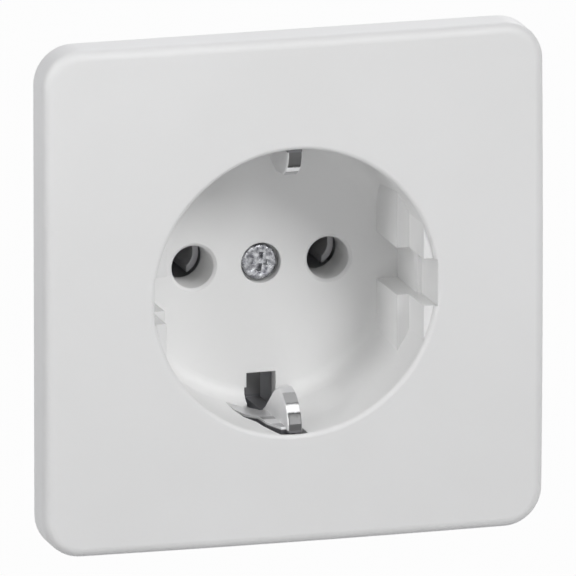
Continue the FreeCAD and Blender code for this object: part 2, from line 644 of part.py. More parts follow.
# The support plate is flat steel against the wall; the pot goes through its middle.
def make_support_plate():
    body = new_body("support_plate")
    outline = new_sketch(body, "XZ", "support_outline")
    rounded_square(outline, "support_half", "support_corner")
    pad(body, outline, "support_sheet")
    holes = new_sketch(body, "XZ", "support_holes", "support_sheet + overcut")
    circle(holes, "0", "0", "support_hole")
    for side in (-1, 1):
        circle(holes, signed(side, "claw_screw_x"), "0", "screw_hole_radius")
        circle(holes, "0", signed(side, "box_spacing / 2"), "box_hole_radius")
        for up in (-1, 1):
            circle(holes, signed(side, "rivet_place"), signed(up, "rivet_place"), "rivet_radius + press_gap")
    pocket(body, holes, "support_sheet + 2 * overcut")
    slots = new_sketch(body, "XZ", "support_slots", "support_sheet + overcut")
    for side in (-1, 1):
        left, right = span(side, "box_spacing / 2 - box_hole_radius", "box_spacing / 2 + box_hole_radius")
        rectangle(slots, left, right, "-box_slot_length / 2", "box_slot_length / 2")
    pocket(body, slots, "support_sheet + 2 * overcut")
    dish = new_sketch(body, "XZ", "support_dish")
    circle(dish, "0", "0", "dish_radius")
    pocket(body, dish, "dish_depth", forward=True)
    half = value("box_slot_length / 2")
    dress(body, "Fillet", "slot_ends", lambda edge: is_slot_corner(edge, half), "box_hole_radius - 0.05")
    return body


def is_slot_corner(edge, half):
    box = edge.BoundBox
    near = value("box_spacing / 2 - box_hole_radius") - 0.01
    upright = box.YLength > value("support_sheet") / 2 and box.XLength + box.ZLength < 0.01
    return upright and abs(abs(box.ZMin) - half) < 0.01 and near < abs(box.XMin) < value("support_half") - 0.5


# The base housing is moulded: a block with chambers, and a shell in two halves up to the support plate.
def make_base_housing():
    body = new_body("base_housing")
    block = new_sketch(body, "XZ", "base_block", "-base_rear")
    circle(block, "0", "0", "base_radius")
    pad(body, block, "base_rear - base_front")
    shells = new_sketch(body, "XZ", "base_shells", "-base_front - overcut")
    circle(shells, "0", "0", "base_radius")
    circle(shells, "0", "0", "shell_inner")
    pad(body, shells, "base_front + overcut + dish_depth")
    windows = new_sketch(body, "XZ", "base_windows", "overcut")
    flats = new_sketch(body, "XZ", "base_flats", "overcut")
    bays = new_sketch(body, "XZ", "base_bays", "overcut")
    for side in (-1, 1):
        low, high = span(side, "shell_inner / 2", "base_radius + overcut")
        rectangle(windows, low, high, "-bay_half_height", "bay_half_height")
        low, high = span(side, "base_flat", "base_radius + overcut")
        rectangle(flats, "-base_radius - overcut", "base_radius + overcut", low, high)
        low, high = span(side, "bay_flat", "base_radius + overcut")
        rectangle(bays, low, high, "-bay_half_height", "bay_half_height")
    pocket(body, windows, "base_front + overcut")
    pocket(body, flats, "base_rear + 2 * overcut")
    pocket(body, bays, "base_rear + 2 * overcut")
    base_chambers(body)
    base_side_cuts(body)
    base_small_holes(body)
    return body


def seat_outline(sketch, gap):
    """The outline of the contact lid, or of its seat with no gap."""
    wide = "seat_half_width - " + gap
    side = "seat_side - " + gap + " / 2"
    top = "seat_top - " + gap
    narrow = "seat_top_half - " + gap + " / 2"
    right = (("%s" % wide, "-(%s)" % side), (wide, side), (narrow, top))
    left = (("-(%s)" % narrow, top), ("-(%s)" % wide, side), ("-(%s)" % wide, "-(%s)" % side))
    bottom = (("-(%s)" % narrow, "-(%s)" % top), (narrow, "-(%s)" % top))
    polygon(sketch, right + left + bottom)


def base_chambers(body):
    """The seat of the lid, and behind it the chambers for the contacts and terminals."""
    seat = new_sketch(body, "XZ", "lid_seat", "-base_front + overcut")
    seat_outline(seat, "0")
    pocket(body, seat, "overcut + chamber_y - base_front")
    channel = new_sketch(body, "XZ", "web_channel", "-base_front + overcut")
    rectangle(channel, "-web_half_width - fit_gap", "web_half_width + fit_gap",
              "-arm_outer - fit_gap", "arm_outer + fit_gap")
    pocket(body, channel, "overcut + lid_y - base_front")
    terminals = new_sketch(body, "XZ", "terminal_chambers", "-chamber_y + overcut")
    grips = new_sketch(body, "XZ", "grip_chambers", "-chamber_y + overcut")
    for side in (-1, 1):
        low, high = span(side, "live_block_x - live_block_half - chamber_gap",
                         "live_block_x + live_block_half + chamber_gap")
        rectangle(terminals, low, high, "live_block_bottom - chamber_gap",
                  "live_block_bottom + block_thick + chamber_gap")
        low, high = span(side, "pin_x - grip_radius - contact_sheet - 3 * chamber_gap",
                         "pin_x + grip_radius + contact_sheet + 3 * chamber_gap")
        rectangle(grips, low, high, "-grip_radius - contact_sheet - 3 * chamber_gap", "live_block_bottom")
    rectangle(terminals, "-earth_block_half - chamber_gap", "earth_block_half + chamber_gap",
              "-earth_block_top - block_thick - chamber_gap", "-earth_block_top + strap_sheet + chamber_gap")
    pocket(body, terminals, "overcut + chamber_end_y - chamber_y")
    pocket(body, grips, "overcut + chamber_end_y - chamber_y")
    relief = new_sketch(body, "XZ", "bush_relief", "-chamber_y + overcut")
    circle(relief, "0", "0", "bush_radius + fit_gap")
    pocket(body, relief, "overcut + web_y + bush_length + fit_gap - chamber_y + thread_radius")


def base_side_cuts(body):
    """The notches for the claw eyes with their pin holes, and the wire entries."""
    notches = new_sketch(body, "XY", "claw_notches")
    pins = new_sketch(body, "XY", "claw_pin_holes")
    entries = new_sketch(body, "XY", "live_wire_entries", "live_block_bottom + block_thick")
    earth = new_sketch(body, "XY", "earth_wire_entries", "-earth_block_top - block_thick")
    room = "claw_eye_radius + fit_gap"
    for side in (-1, 1):
        low, high = span(side, "claw_pivot_x - (" + room + ")", "base_radius")
        rectangle(notches, low, high, "base_front - overcut", "claw_pivot_y + " + room)
        circle(pins, signed(side, "claw_pivot_x"), "claw_pivot_y", "claw_pin_radius + pin_press_gap")
        for across in ("live_inner_x", "live_outer_x"):
            circle(entries, signed(side, across), "wire_y", "wire_entry_radius")
        circle(earth, signed(side, "earth_screw_x"), "wire_y", "wire_entry_radius")
    pocket(body, notches, "claw_width + 2 * fit_gap", midplane=True)
    pocket(body, pins, "claw_pin_length", midplane=True)
    pocket(body, entries, "base_flat", forward=True)
    pocket(body, earth, "base_flat")


def base_small_holes(body):
    """Screw access at the rear, and the blind holes for rivets and lid screws."""
    access = new_sketch(body, "XZ", "rear_access", "-base_rear - overcut")
    reach = "clamp_head_radius + fit_gap"
    for side in (-1, 1):
        low, high = span(side, "live_inner_x - (" + reach + ")", "live_outer_x + " + reach)
        rectangle(access, low, high, "live_block_z - (" + reach + ")", "live_block_z + " + reach)
    rectangle(access, "-earth_screw_x - (" + reach + ")", "earth_screw_x + " + reach,
              "earth_block_z - (" + reach + ")", "earth_block_z + " + reach)
    pocket(body, access, "base_wall + 1.5 * overcut", forward=True)
    rivets = new_sketch(body, "XZ", "rivet_holes", "overcut")
    for side in (-1, 1):
        for up in (-1, 1):
            circle(rivets, signed(side, "rivet_place"), signed(up, "rivet_place"), "rivet_radius + press_gap")
    pocket(body, rivets, "overcut + rivet_length + fit_gap")
    screws = new_sketch(body, "XZ", "lid_screw_holes", "-chamber_y + overcut")
    for side in (-1, 1):
        circle(screws, signed(side, "lid_screw_across"), signed(side, "lid_screw_up"),
               "lid_screw_radius + press_gap")
    pocket(body, screws, "overcut + lid_y + lid_screw_length + fit_gap - chamber_y")


# The contact lid closes the chambers and lets the collars, the bush and the strap through.
def make_contact_lid():
    body = new_body("contact_lid")
    outline = new_sketch(body, "XZ", "lid_outline", "-chamber_y")
    seat_outline(outline, "lid_gap")
    pad(body, outline, "lid_sheet")
    holes = new_sketch(body, "XZ", "lid_holes", "-lid_y + overcut")
    for side in (-1, 1):
        circle(holes, signed(side, "pin_x"), "0", "collar_radius + fit_gap")
        circle(holes, signed(side, "lid_screw_across"), signed(side, "lid_screw_up"),
               "lid_screw_radius + thread_gap")
    circle(holes, "0", "0", "bush_flange_radius + fit_gap")
    pocket(body, holes, "lid_sheet + 2 * overcut")
    slot = new_sketch(body, "XZ", "lid_strap_slot", "-lid_y + overcut")
    rectangle(slot, "-strap_half_width - fit_gap", "strap_half_width + fit_gap",
              "-earth_block_top - chamber_gap", "strap_top + fit_gap")
    pocket(body, slot, "lid_sheet + 2 * overcut")
    return body


# The earth bracket is one pressed sheet: a web behind the cover and two arms with folded fingers.
def make_earth_bracket():
    body = new_body("earth_bracket")
    web = new_sketch(body, "XZ", "earth_web", "-lid_y")
    polygon(web, (("-web_half_width", "-web_straight"), ("-web_end_half", "-web_straight - web_taper"),
                  ("-web_end_half", "-arm_outer"), ("web_end_half", "-arm_outer"),
                  ("web_end_half", "-web_straight - web_taper"), ("web_half_width", "-web_straight"),
                  ("web_half_width", "web_straight"), ("web_end_half", "web_straight + web_taper"),
                  ("web_end_half", "arm_outer"), ("-web_end_half", "arm_outer"),
                  ("-web_end_half", "web_straight + web_taper"), ("-web_half_width", "web_straight")))
    pad(body, web, "earth_sheet")
    for side, name in ((-1, "lower"), (1, "upper")):
        strip = new_sketch(body, "YZ", name + "_finger")
        polygon(strip, finger_outline(side, name))
        pad(body, strip, "strip_width", midplane=True)
    dress(body, "Fillet", "finger_edges", is_finger_edge, "strip_width / 7")
    wing = new_sketch(body, "XY", "lower_wing", "-recess_radius + lip_gap / 2 - earth_sheet")
    polygon(wing, wing_outline())
    pad(body, wing, "earth_sheet")
    for side, name in ((-1, "lower"), (1, "upper")):
        fold = new_sketch(body, "YZ", name + "_fold")
        polygon(fold, fold_outline(side, name))
        pocket(body, fold, "strip_fold_gap", midplane=True)
    hole = new_sketch(body, "XZ", "bush_hole", "-web_y + overcut")
    circle(hole, "0", "0", "bush_radius + press_gap")
    pocket(body, hole, "earth_sheet + 2 * overcut")
    return body


def finger_outline(side, name):
    """Side view of an arm and its finger, as level and height from the axis."""
    inner = signed(side, "arm_outer - earth_sheet")
    corners = [("lid_y", signed(side, "arm_outer")),
               ("floor_y - tip_start_height", signed(side, "arm_outer")),
               ("floor_y - finger_height", signed(side, "recess_radius - " + name + "_end")),
               ("floor_y - finger_height", signed(side, "recess_radius - " + name + "_front"))]
    for point in ("lip", "nose", "brow", "crest", "slope", "heel"):
        corner = name + "_" + point
        corners.append(("floor_y - " + corner + "_height", signed(side, "recess_radius - " + corner)))
    corners.append(("floor_y - heel_end_height", inner))
    corners.append(("lid_y", inner))
    return corners


def fold_outline(side, name):
    """The gap between the two cheeks of a finger, open on the outside."""
    outside = signed(side, "arm_outer + overcut")
    corners = [("floor_y - heel_end_height", outside),
               ("floor_y - finger_height + strip_sheet", outside),
               ("floor_y - finger_height + strip_sheet",
                signed(side, "recess_radius - " + name + "_front + strip_sheet"))]
    for point in ("brow", "crest", "slope"):
        corner = name + "_" + point
        corners.append(("floor_y - " + corner + "_height",
                        signed(side, "recess_radius - " + corner + " + strip_sheet * 1.2")))
    corners.append(("floor_y - heel_end_height", signed(side, "arm_outer - strip_sheet / 4")))
    return corners


def wing_outline():
    """The wing at the foot of the lower finger, drawn as place across and level."""
    return (("-strip_width / 4", "floor_y - finger_height + 2 * lip_gap"),
            ("-lip_end + lip_gap", "floor_y - finger_height + 2 * lip_gap"),
            ("-lip_side + lip_gap", "floor_y - lip_side_height + lip_gap / 2"),
            ("-lip_neck + lip_gap", "floor_y - lip_neck_height + 2 * lip_gap"),
            ("-lip_turn + lip_gap", "floor_y - lip_turn_height + 2 * lip_gap"),
            ("-lip_reach + lip_gap", "floor_y - lip_high_height + lip_gap"),
            ("-lip_reach + lip_gap", "floor_y - lip_low_height - lip_gap"),
            ("-lip_notch + lip_gap / 4", "floor_y - lip_notch_height - 1.5 * lip_gap"),
            ("-lip_root + lip_gap", "floor_y - heel_end_height - 5 * lip_gap"),
            ("-strip_width / 4", "floor_y - heel_end_height - 6 * lip_gap"))


def is_finger_edge(edge):
    """The long outer edges of the finger strips that face the plug."""
    box = edge.BoundBox
    half = value("strip_width") / 2
    on_side = abs(abs(box.XMin) - half) < 0.001 and box.XLength < 0.001
    front = box.YMax < value("floor_y - heel_end_height") + 0.01
    outer = value("arm_outer")
    on_arm = abs(abs(box.ZMin) - outer) < 0.01 and box.ZLength < 0.01
    return on_side and front and not on_arm


def make_centre_bush():
    body = new_body("centre_bush")
    barrel = new_sketch(body, "XZ", "bush_barrel", "-web_y - bush_length")
    circle(barrel, "0", "0", "bush_radius")
    pad(body, barrel, "bush_length")
    flange = new_sketch(body, "XZ", "bush_flange", "-lid_y - strap_sheet - bush_flange_sheet")
    circle(flange, "0", "0", "bush_flange_radius")
    pad(body, flange, "bush_flange_sheet")
    hole = new_sketch(body, "XZ", "bush_thread", "-web_y + overcut")
    circle(hole, "0", "0", "thread_radius + press_gap")
    pocket(body, hole, "bush_length + 2 * overcut")
    return body


def make_screw_retainer():
    body = new_body("screw_retainer")
    disc = new_sketch(body, "XZ", "retainer_disc")
    circle(disc, "0", "0", "washer_radius")
    circle(disc, "0", "0", "thread_radius + press_gap")
    pad(body, disc, "washer_sheet")
    place(body, "0", "washer_y + washer_sheet", "0")
    return body


def make_earth_strap():
    """A bent strip from the bush to the earth terminal block."""
    body = new_body("earth_strap")
    foot = new_sketch(body, "XZ", "strap_foot", "-lid_y - strap_sheet")
    rectangle(foot, "-strap_half_width", "strap_half_width", "-earth_block_top", "strap_top")
    pad(body, foot, "strap_sheet")
    leg = new_sketch(body, "XZ", "strap_leg", "-strap_reach")
    rectangle(leg, "-strap_half_width", "strap_half_width",
              "-earth_block_top", "-earth_block_top + strap_sheet")
    pad(body, leg, "strap_reach - lid_y")
    hole = new_sketch(body, "XZ", "strap_hole", "-lid_y + overcut")
    circle(hole, "0", "0", "bush_radius + press_gap")
    pocket(body, hole, "strap_sheet + 2 * overcut")
    return body


def make_terminal_block(label, low, high, bottom, top, screws, wire_side):
    """A brass block with one clamping screw hole and one wire hole for each wire."""
    body = new_body(label)
    block = new_sketch(body, "XZ", label + "_block", "-chamber_end_y")
    rectangle(block, low, high, bottom, top)
    pad(body, block, "block_length")
    threads = new_sketch(body, "XZ", label + "_threads", "-chamber_end_y - overcut")
    wires = new_sketch(body, "XY", label + "_wires", top if wire_side > 0 else bottom)
    centre = "(" + bottom + " + " + top + ") / 2"
    for across in screws:
        circle(threads, across, centre, "clamp_hole_radius")
        circle(wires, across, "wire_y", "wire_radius")
    pocket(body, threads, "wire_front + overcut", forward=True)
    pocket(body, wires, "block_thick - wire_floor", forward=wire_side < 0)
    return body


def make_live_contact(side, name):
    """A bent strip that grips the pin between two leaves and ends against the terminal block."""
    body = new_body("live_contact_" + name)
    outer = "grip_radius + contact_sheet"
    level = "-chamber_y - 2 * chamber_gap - contact_length"
    leaves = new_sketch(body, "XZ", name + "_leaves", level)
    low, high = span(side, "pin_x - (" + outer + ")", "pin_x + " + outer)
    rectangle(leaves, low, high, "0", "live_block_bottom")
    pad(body, leaves, "contact_length")
    grip = new_sketch(body, "XZ", name + "_grip", level)
    circle(grip, signed(side, "pin_x"), "0", outer)
    pad(body, grip, "contact_length")
    room = new_sketch(body, "XZ", name + "_room", level + " - overcut")
    low, high = span(side, "pin_x - grip_radius", "pin_x + grip_radius")
    rectangle(room, low, high, "0", "live_block_bottom - contact_sheet")
    pocket(body, room, "contact_length + 2 * overcut", forward=True)
    bore = new_sketch(body, "XZ", name + "_bore", level + " - overcut")
    circle(bore, signed(side, "pin_x"), "0", "grip_radius")
    pocket(body, bore, "contact_length + 2 * overcut", forward=True)
    mouth = new_sketch(body, "XZ", name + "_mouth", level + " - overcut")
    low, high = span(side, "pin_x - contact_mouth", "pin_x + contact_mouth")
    rectangle(mouth, low, high, "-(" + outer + ") - overcut", "0")
    pocket(body, mouth, "contact_length + 2 * overcut", forward=True)
    return body


def make_screw(label, head_radius, head_height, shank_radius, shank_length, cross=True):
    """A screw along Y with its seat at the origin: the head towards -Y, the shank towards +Y."""
    body = new_body(label)
    shank = new_sketch(body, "XZ", label + "_shank", "-(" + shank_length + ")")
    circle(shank, "0", "0", shank_radius)
    pad(body, shank, shank_length)
    head = new_sketch(body, "XZ", label + "_head")
    circle(head, "0", "0", head_radius)
    pad(body, head, head_height)
    rim = value(head_radius)
    top = -value(head_height)
    dress(body, "Fillet", label + "_dome", lambda edge: is_ring(edge, rim, top), head_height + " * 0.4")
    point = value(shank_length)
    thin = value(shank_radius)
    dress(body, "Chamfer", label + "_point", lambda edge: is_ring(edge, thin, point),
          shank_radius + " * 0.3")
    slot = new_sketch(body, "XZ", label + "_slot", head_height + " + overcut")
    rectangle(slot, "-(" + head_radius + ") - overcut", head_radius + " + overcut", "-drive_slot / 2", "drive_slot / 2")
    pocket(body, slot, "overcut + " + head_height + " * 0.45")
    if cross:
        for name, wide, tall in (("level", "drive_cross_length", "drive_cross"),
                                 ("upright", "drive_cross", "drive_cross_length")):
            bar = new_sketch(body, "XZ", label + "_cross_" + name, head_height + " + overcut")
            rectangle(bar, "-" + wide + " / 2", wide + " / 2", "-" + tall + " / 2", tall + " / 2")
            pocket(body, bar, "overcut + " + head_height + " * 0.75")
    return body


def make_rivet(label):
    body = new_body(label)
    shank = new_sketch(body, "XZ", label + "_shank", "-rivet_length")
    circle(shank, "0", "0", "rivet_radius")
    pad(body, shank, "rivet_length + support_sheet + rivet_head_height / 2")
    head = new_sketch(body, "XZ", label + "_head", "support_sheet")
    circle(head, "0", "0", "rivet_head_radius")
    pad(body, head, "rivet_head_height")
    rim = value("rivet_head_radius")
    top = -value("support_sheet + rivet_head_height")
    dress(body, "Fillet", label + "_dome", lambda edge: is_ring(edge, rim, top), "rivet_head_height * 0.8")
    return body


def make_claw(name):
    """A bent strip: an eye on the pin, a lug with a hole for the screw, and a leg with a toothed tip.

    It is drawn round its pivot with +X outwards, so the left one is the right one turned over."""
    body = new_body("claw_" + name)
    eye = new_sketch(body, "XY", name + "_eye")
    circle(eye, "0", "0", "claw_eye_radius")
    pad(body, eye, "claw_width", midplane=True)
    strip = new_sketch(body, "XY", name + "_strip")
    slope = "tan(claw_tilt * 1deg)"
    half = "claw_sheet / 2 / cos(claw_tilt * 1deg)"
    outer = "claw_leg + claw_sheet"
    polygon(strip, (("claw_root", "claw_root * " + slope + " - " + half),
                    (outer, "(" + outer + ") * " + slope + " - " + half),
                    (outer, "claw_reach - claw_tip"),
                    (outer + " + claw_tip_out", "claw_reach"),
                    ("claw_leg + 2 * claw_tip_out", "claw_reach"),
                    ("claw_leg", "claw_reach - claw_tip"),
                    ("claw_leg", "claw_leg * " + slope + " + " + half),
                    ("claw_root", "claw_root * " + slope + " + " + half)))
    pad(body, strip, "claw_width", midplane=True)
    bore = new_sketch(body, "XY", name + "_bore")
    circle(bore, "0", "0", "claw_pin_radius + claw_eye_gap")
    pocket(body, bore, "claw_width + 2 * overcut", midplane=True)
    hole = new_sketch(body, "XZ", name + "_hole")
    circle(hole, "claw_screw_x - claw_pivot_x", "0", "claw_hole_radius")
    pocket(body, hole, "claw_sheet * 5", midplane=True)
    teeth = new_sketch(body, "YZ", name + "_teeth", "claw_leg - overcut")
    for up in ("-claw_width / 6", "claw_width / 6"):
        polygon(teeth, (("claw_reach - claw_tip * 0.8", up), ("claw_reach + overcut", up + " + claw_width / 8"),
                        ("claw_reach + overcut", up + " - claw_width / 8")))
    pocket(body, teeth, "claw_sheet + 3 * overcut", forward=True)
    return body


def make_claw_pin(name, side):
    body = new_body("claw_pin_" + name)
    rod = new_sketch(body, "XY", name + "_rod")
    circle(rod, signed(side, "claw_pivot_x"), "claw_pivot_y", "claw_pin_radius")
    pad(body, rod, "claw_pin_length", midplane=True)
    return body


def make_fasteners():
    """Every screw and rivet, each in its seat."""
    upright = FreeCAD.Vector(0, 0, 1)
    level = FreeCAD.Vector(0, 1, 0)
    centre = make_screw("centre_screw", "screw_head_radius", "screw_head_height", "thread_radius",
                        "centre_screw_length")
    place(centre, "0", "head_seat_y", "0", level, "-centre_screw_turn")
    clamp = ("clamp_head_radius", "clamp_head_height", "clamp_radius", "clamp_length")
    for side, name in ((-1, "left"), (1, "right")):
        for across in ("inner", "outer"):
            screw = make_screw("terminal_screw_%s_%s" % (name, across), *clamp)
            place(screw, signed(side, "live_%s_x" % across), "chamber_end_y", "live_block_z", upright, "180")
        screw = make_screw("earth_screw_" + name, *clamp)
        place(screw, signed(side, "earth_screw_x"), "chamber_end_y", "earth_block_z", upright, "180")
        screw = make_screw("claw_screw_" + name, "claw_head_radius", "claw_head_height", "thread_radius",
                           "claw_screw_length")
        place(screw, signed(side, "claw_screw_x"), "-support_sheet", "0")
        for up, end in ((-1, "lower"), (1, "upper")):
            rivet = make_rivet("plate_rivet_%s_%s" % (end, name))
            place(rivet, signed(side, "rivet_place"), "0", signed(up, "rivet_place"))
    for side, name in ((-1, "lower"), (1, "upper")):
        screw = make_screw("lid_screw_" + name, "lid_screw_head", "lid_screw_head_height",
                           "lid_screw_radius", "lid_screw_length")
        place(screw, signed(side, "lid_screw_across"), "lid_y", signed(side, "lid_screw_up"))


def make_insert():
    """Contacts, terminals and claws on both sides, and the earth terminal."""
    for side, name in ((-1, "left"), (1, "right")):
        make_live_contact(side, name)
        low, high = span(side, "live_block_x - live_block_half", "live_block_x + live_block_half")
        screws = [signed(side, "live_inner_x"), signed(side, "live_outer_x")]
        make_terminal_block("terminal_block_" + name, low, high, "live_block_bottom",
                            "(live_block_bottom + block_thick)", screws, 1)
        claw = make_claw(name)
        turn = "0" if side > 0 else "180"
        place(claw, signed(side, "claw_pivot_x"), "claw_pivot_y", "0", FreeCAD.Vector(0, 1, 0), turn)
        make_claw_pin(name, side)
    make_terminal_block("earth_terminal_block", "-earth_block_half", "earth_block_half",
                        "(-earth_block_top - block_thick)", "-earth_block_top",
                        ["-earth_screw_x", "earth_screw_x"], -1)


def check_and_write():
    """Stop if anything failed, then write one file for each sub-part."""
    doc.recompute()
    for item in doc.Objects:
        if "Invalid" in item.State or "Error" in item.State:
            raise RuntimeError("%s is in state %s" % (item.Name, item.State))
    os.makedirs("parts", exist_ok=True)
    for item in doc.Objects:
        if item.TypeId != "PartDesign::Body":
            continue
        shape = item.Shape
        if shape.isNull() or not shape.isValid() or len(shape.Solids) != 1:
            raise RuntimeError("%s has %d solids" % (item.Label, len(shape.Solids)))
        shape.exportStep(os.path.join("parts", item.Label + ".step"))
        print("%-30s %9.1f mm3" % (item.Label, shape.Volume))


fill_sheet()
make_cover()
make_support_plate()
make_base_housing()
make_contact_lid()
make_earth_bracket()
make_centre_bush()
make_screw_retainer()
make_earth_strap()
make_insert()
make_fasteners()
check_and_write()
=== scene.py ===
# %% [markdown]
# A flush-mounted wall socket: a square white cover with a round recess in it, and behind
# the cover a steel support plate, a moulded base, terminals and two expanding claws.
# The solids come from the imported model, in metres. This script gives them their finishes,
# models the pieces that need more detail than the solids have, and sets light and camera.

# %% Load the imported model
import math
import bpy
from mathutils import Matrix, Vector


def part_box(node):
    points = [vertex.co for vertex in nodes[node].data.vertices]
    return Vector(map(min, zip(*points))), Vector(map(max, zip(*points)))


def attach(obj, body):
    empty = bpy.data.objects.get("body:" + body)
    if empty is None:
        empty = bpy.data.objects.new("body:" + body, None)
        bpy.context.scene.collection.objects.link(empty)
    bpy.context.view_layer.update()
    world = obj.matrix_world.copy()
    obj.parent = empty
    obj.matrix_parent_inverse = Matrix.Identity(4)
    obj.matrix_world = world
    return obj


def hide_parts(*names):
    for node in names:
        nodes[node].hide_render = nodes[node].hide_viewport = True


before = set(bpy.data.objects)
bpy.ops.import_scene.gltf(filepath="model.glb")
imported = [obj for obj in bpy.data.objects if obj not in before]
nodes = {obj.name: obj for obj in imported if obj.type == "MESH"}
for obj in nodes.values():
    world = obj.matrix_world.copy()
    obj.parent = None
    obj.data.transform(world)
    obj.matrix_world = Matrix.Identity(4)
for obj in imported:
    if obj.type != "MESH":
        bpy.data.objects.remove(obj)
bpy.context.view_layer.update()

# %% [markdown]
# Sizes that more than one step uses. Lengths are in millimetres as on a drawing, and MM
# turns them into Blender's metres where a shape is made.

# %% Shared sizes
MM = 0.001
FRONT_Y = -6.3
FLOOR_DROP = 160.0
print("rim of the recess at", FRONT_Y, "mm")

# %% [markdown]
# The photograph is nearly a parallel view: the camera stood far off with a long lens,
# a little to the left of the socket and a little above it. A long lens is copied by a
# real distance and a real focal length, so that the edges stay as parallel as they are.
# The focal length follows from how many pixels a millimetre takes at the rim of the
# recess. The aim numbers say how far to the right of the picture's middle, and how far
# above it, the middle of that rim appears.

# %% Camera
VIEW_LEFT = 16.09
VIEW_DOWN = 13.95
DISTANCE = 3500.0
PIXELS_PER_MM = 7.439
SENSOR = 36.0
IMAGE_SIDE = 576
AIM_RIGHT = 1.19
AIM_UP = -0.66

turn, dip = math.radians(VIEW_LEFT), math.radians(VIEW_DOWN)
forward = Vector((math.sin(turn) * math.cos(dip), math.cos(turn) * math.cos(dip), -math.sin(dip)))
right = Vector((math.cos(turn), -math.sin(turn), 0.0))
up = right.cross(forward)
aim = Vector((0.0, FRONT_Y, 0.0))
stand = aim - forward * DISTANCE - right * AIM_RIGHT - up * AIM_UP

camera_data = bpy.data.cameras.new("camera")
camera_data.sensor_width = SENSOR
camera_data.lens = PIXELS_PER_MM * DISTANCE * SENSOR / IMAGE_SIDE
camera_data.clip_start = 0.1
camera_data.clip_end = 20.0
camera = bpy.data.objects.new("camera", camera_data)
bpy.context.scene.collection.objects.link(camera)
axes = Matrix((right, up, -forward)).transposed().to_4x4()
camera.matrix_world = Matrix.Translation(stand * MM) @ axes
bpy.context.scene.camera = camera
print("lens", round(camera_data.lens), "mm from", [round(v) for v in stand], "mm")

# %% [markdown]
# The light is that of a plain product picture. A large soft key lamp stands in front,
# above and to the right: it throws the soft shadow into the upper right of the recess.
# A small weak one close to the upper left corner makes that corner the brightest. One
# beside the camera looks into the pin holes, and one at the left grazes the plate and
# reaches the right wall of the recess. One behind shapes the rear. The surrounding is
# faintly blue and fills the rest. It has the same strength at every side, to which a soft
# part from above and a soft part from behind are added.

# %% World
SKY_SIDE = 0.06
SKY_TOP = 0.07
SKY_REAR = 0.40
TOP_SPREAD = 0.9
REAR_SPREAD = 0.8

world = bpy.data.worlds.new("studio")
bpy.context.scene.world = world
world.use_nodes = True
tree = world.node_tree
tree.nodes.clear()
place = tree.nodes.new("ShaderNodeTexCoord")
split = tree.nodes.new("ShaderNodeSeparateXYZ")
tree.links.new(place.outputs["Generated"], split.inputs["Vector"])
total = None
for axis, far, amount in (("Z", TOP_SPREAD, SKY_TOP), ("Y", REAR_SPREAD, SKY_REAR)):
    share = tree.nodes.new("ShaderNodeMapRange")
    share.interpolation_type = "SMOOTHSTEP"
    share.inputs["From Max"].default_value = far
    share.inputs["To Max"].default_value = amount
    tree.links.new(split.outputs[axis], share.inputs["Value"])
    add = tree.nodes.new("ShaderNodeMath")
    add.inputs[1].default_value = SKY_SIDE
    tree.links.new(share.outputs["Result"], add.inputs[0])
    if total:
        tree.links.new(total.outputs["Value"], add.inputs[1])
    total = add
surround = tree.nodes.new("ShaderNodeBackground")
surround.inputs["Color"].default_value = (0.92, 0.93, 1.0, 1.0)
tree.links.new(total.outputs["Value"], surround.inputs["Strength"])
backdrop = tree.nodes.new("ShaderNodeBackground")
backdrop.inputs["Color"].default_value = (1.0, 1.0, 1.0, 1.0)
print("surrounding", SKY_SIDE, "at the side")

# %% [markdown]
# The picture has a plain white background. The rays that look at it directly, from the
# camera, a mirror or glass, therefore see pure white, while the light that the
# surrounding throws on the socket stays weak.


# %% What the rays see
def white_rays(tree):
    """A value that is 1 for rays that see the plain background, and 0 for the others."""
    path = tree.nodes.new("ShaderNodeLightPath")
    first = tree.nodes.new("ShaderNodeMath")
    second = tree.nodes.new("ShaderNodeMath")
    for step in (first, second):
        step.operation = "MAXIMUM"
    tree.links.new(path.outputs["Is Camera Ray"], first.inputs[0])
    tree.links.new(path.outputs["Is Glossy Ray"], first.inputs[1])
    tree.links.new(first.outputs["Value"], second.inputs[0])
    tree.links.new(path.outputs["Is Transmission Ray"], second.inputs[1])
    return second.outputs["Value"]


mix = tree.nodes.new("ShaderNodeMixShader")
out = tree.nodes.new("ShaderNodeOutputWorld")
tree.links.new(white_rays(tree), mix.inputs["Fac"])
tree.links.new(surround.outputs["Background"], mix.inputs[1])
tree.links.new(backdrop.outputs["Background"], mix.inputs[2])
tree.links.new(mix.outputs["Shader"], out.inputs["Surface"])
print("background white for", mix.name)

# %% [markdown]
# Each lamp is a round soft one that looks at the origin. Its direction is where it stands,
# and its distance and size are in metres.


# %% Lamps
def add_lamp(name, direction, distance, size, power):
    """A round soft lamp that the camera doesn't see."""
    data = bpy.data.lights.new(name, "AREA")
    data.shape = "DISK"
    data.size = size
    data.energy = power
    lamp = bpy.data.objects.new(name, data)
    lamp.visible_camera = False
    toward = Vector(direction).normalized()
    aim_axes = toward.to_track_quat("Z", "Y").to_matrix().to_4x4()
    lamp.matrix_world = Matrix.Translation(toward * distance) @ aim_axes
    bpy.context.scene.collection.objects.link(lamp)
    print(name, power, "W at", [round(v, 2) for v in lamp.location])


add_lamp("key_lamp", (0.36, -0.68, 0.50), distance=1.2, size=0.50, power=7.0)
add_lamp("corner_lamp", (-0.80, -0.50, 0.80), distance=0.30, size=0.15, power=0.16)
add_lamp("rear_lamp", (0.45, 0.80, 0.50), distance=1.2, size=0.50, power=3.0)
add_lamp("front_lamp", (-0.27, -0.93, 0.24), distance=1.2, size=0.30, power=1.1)
add_lamp("left_lamp", (-0.95, -0.32, 0.18), distance=1.2, size=0.30, power=2.6)

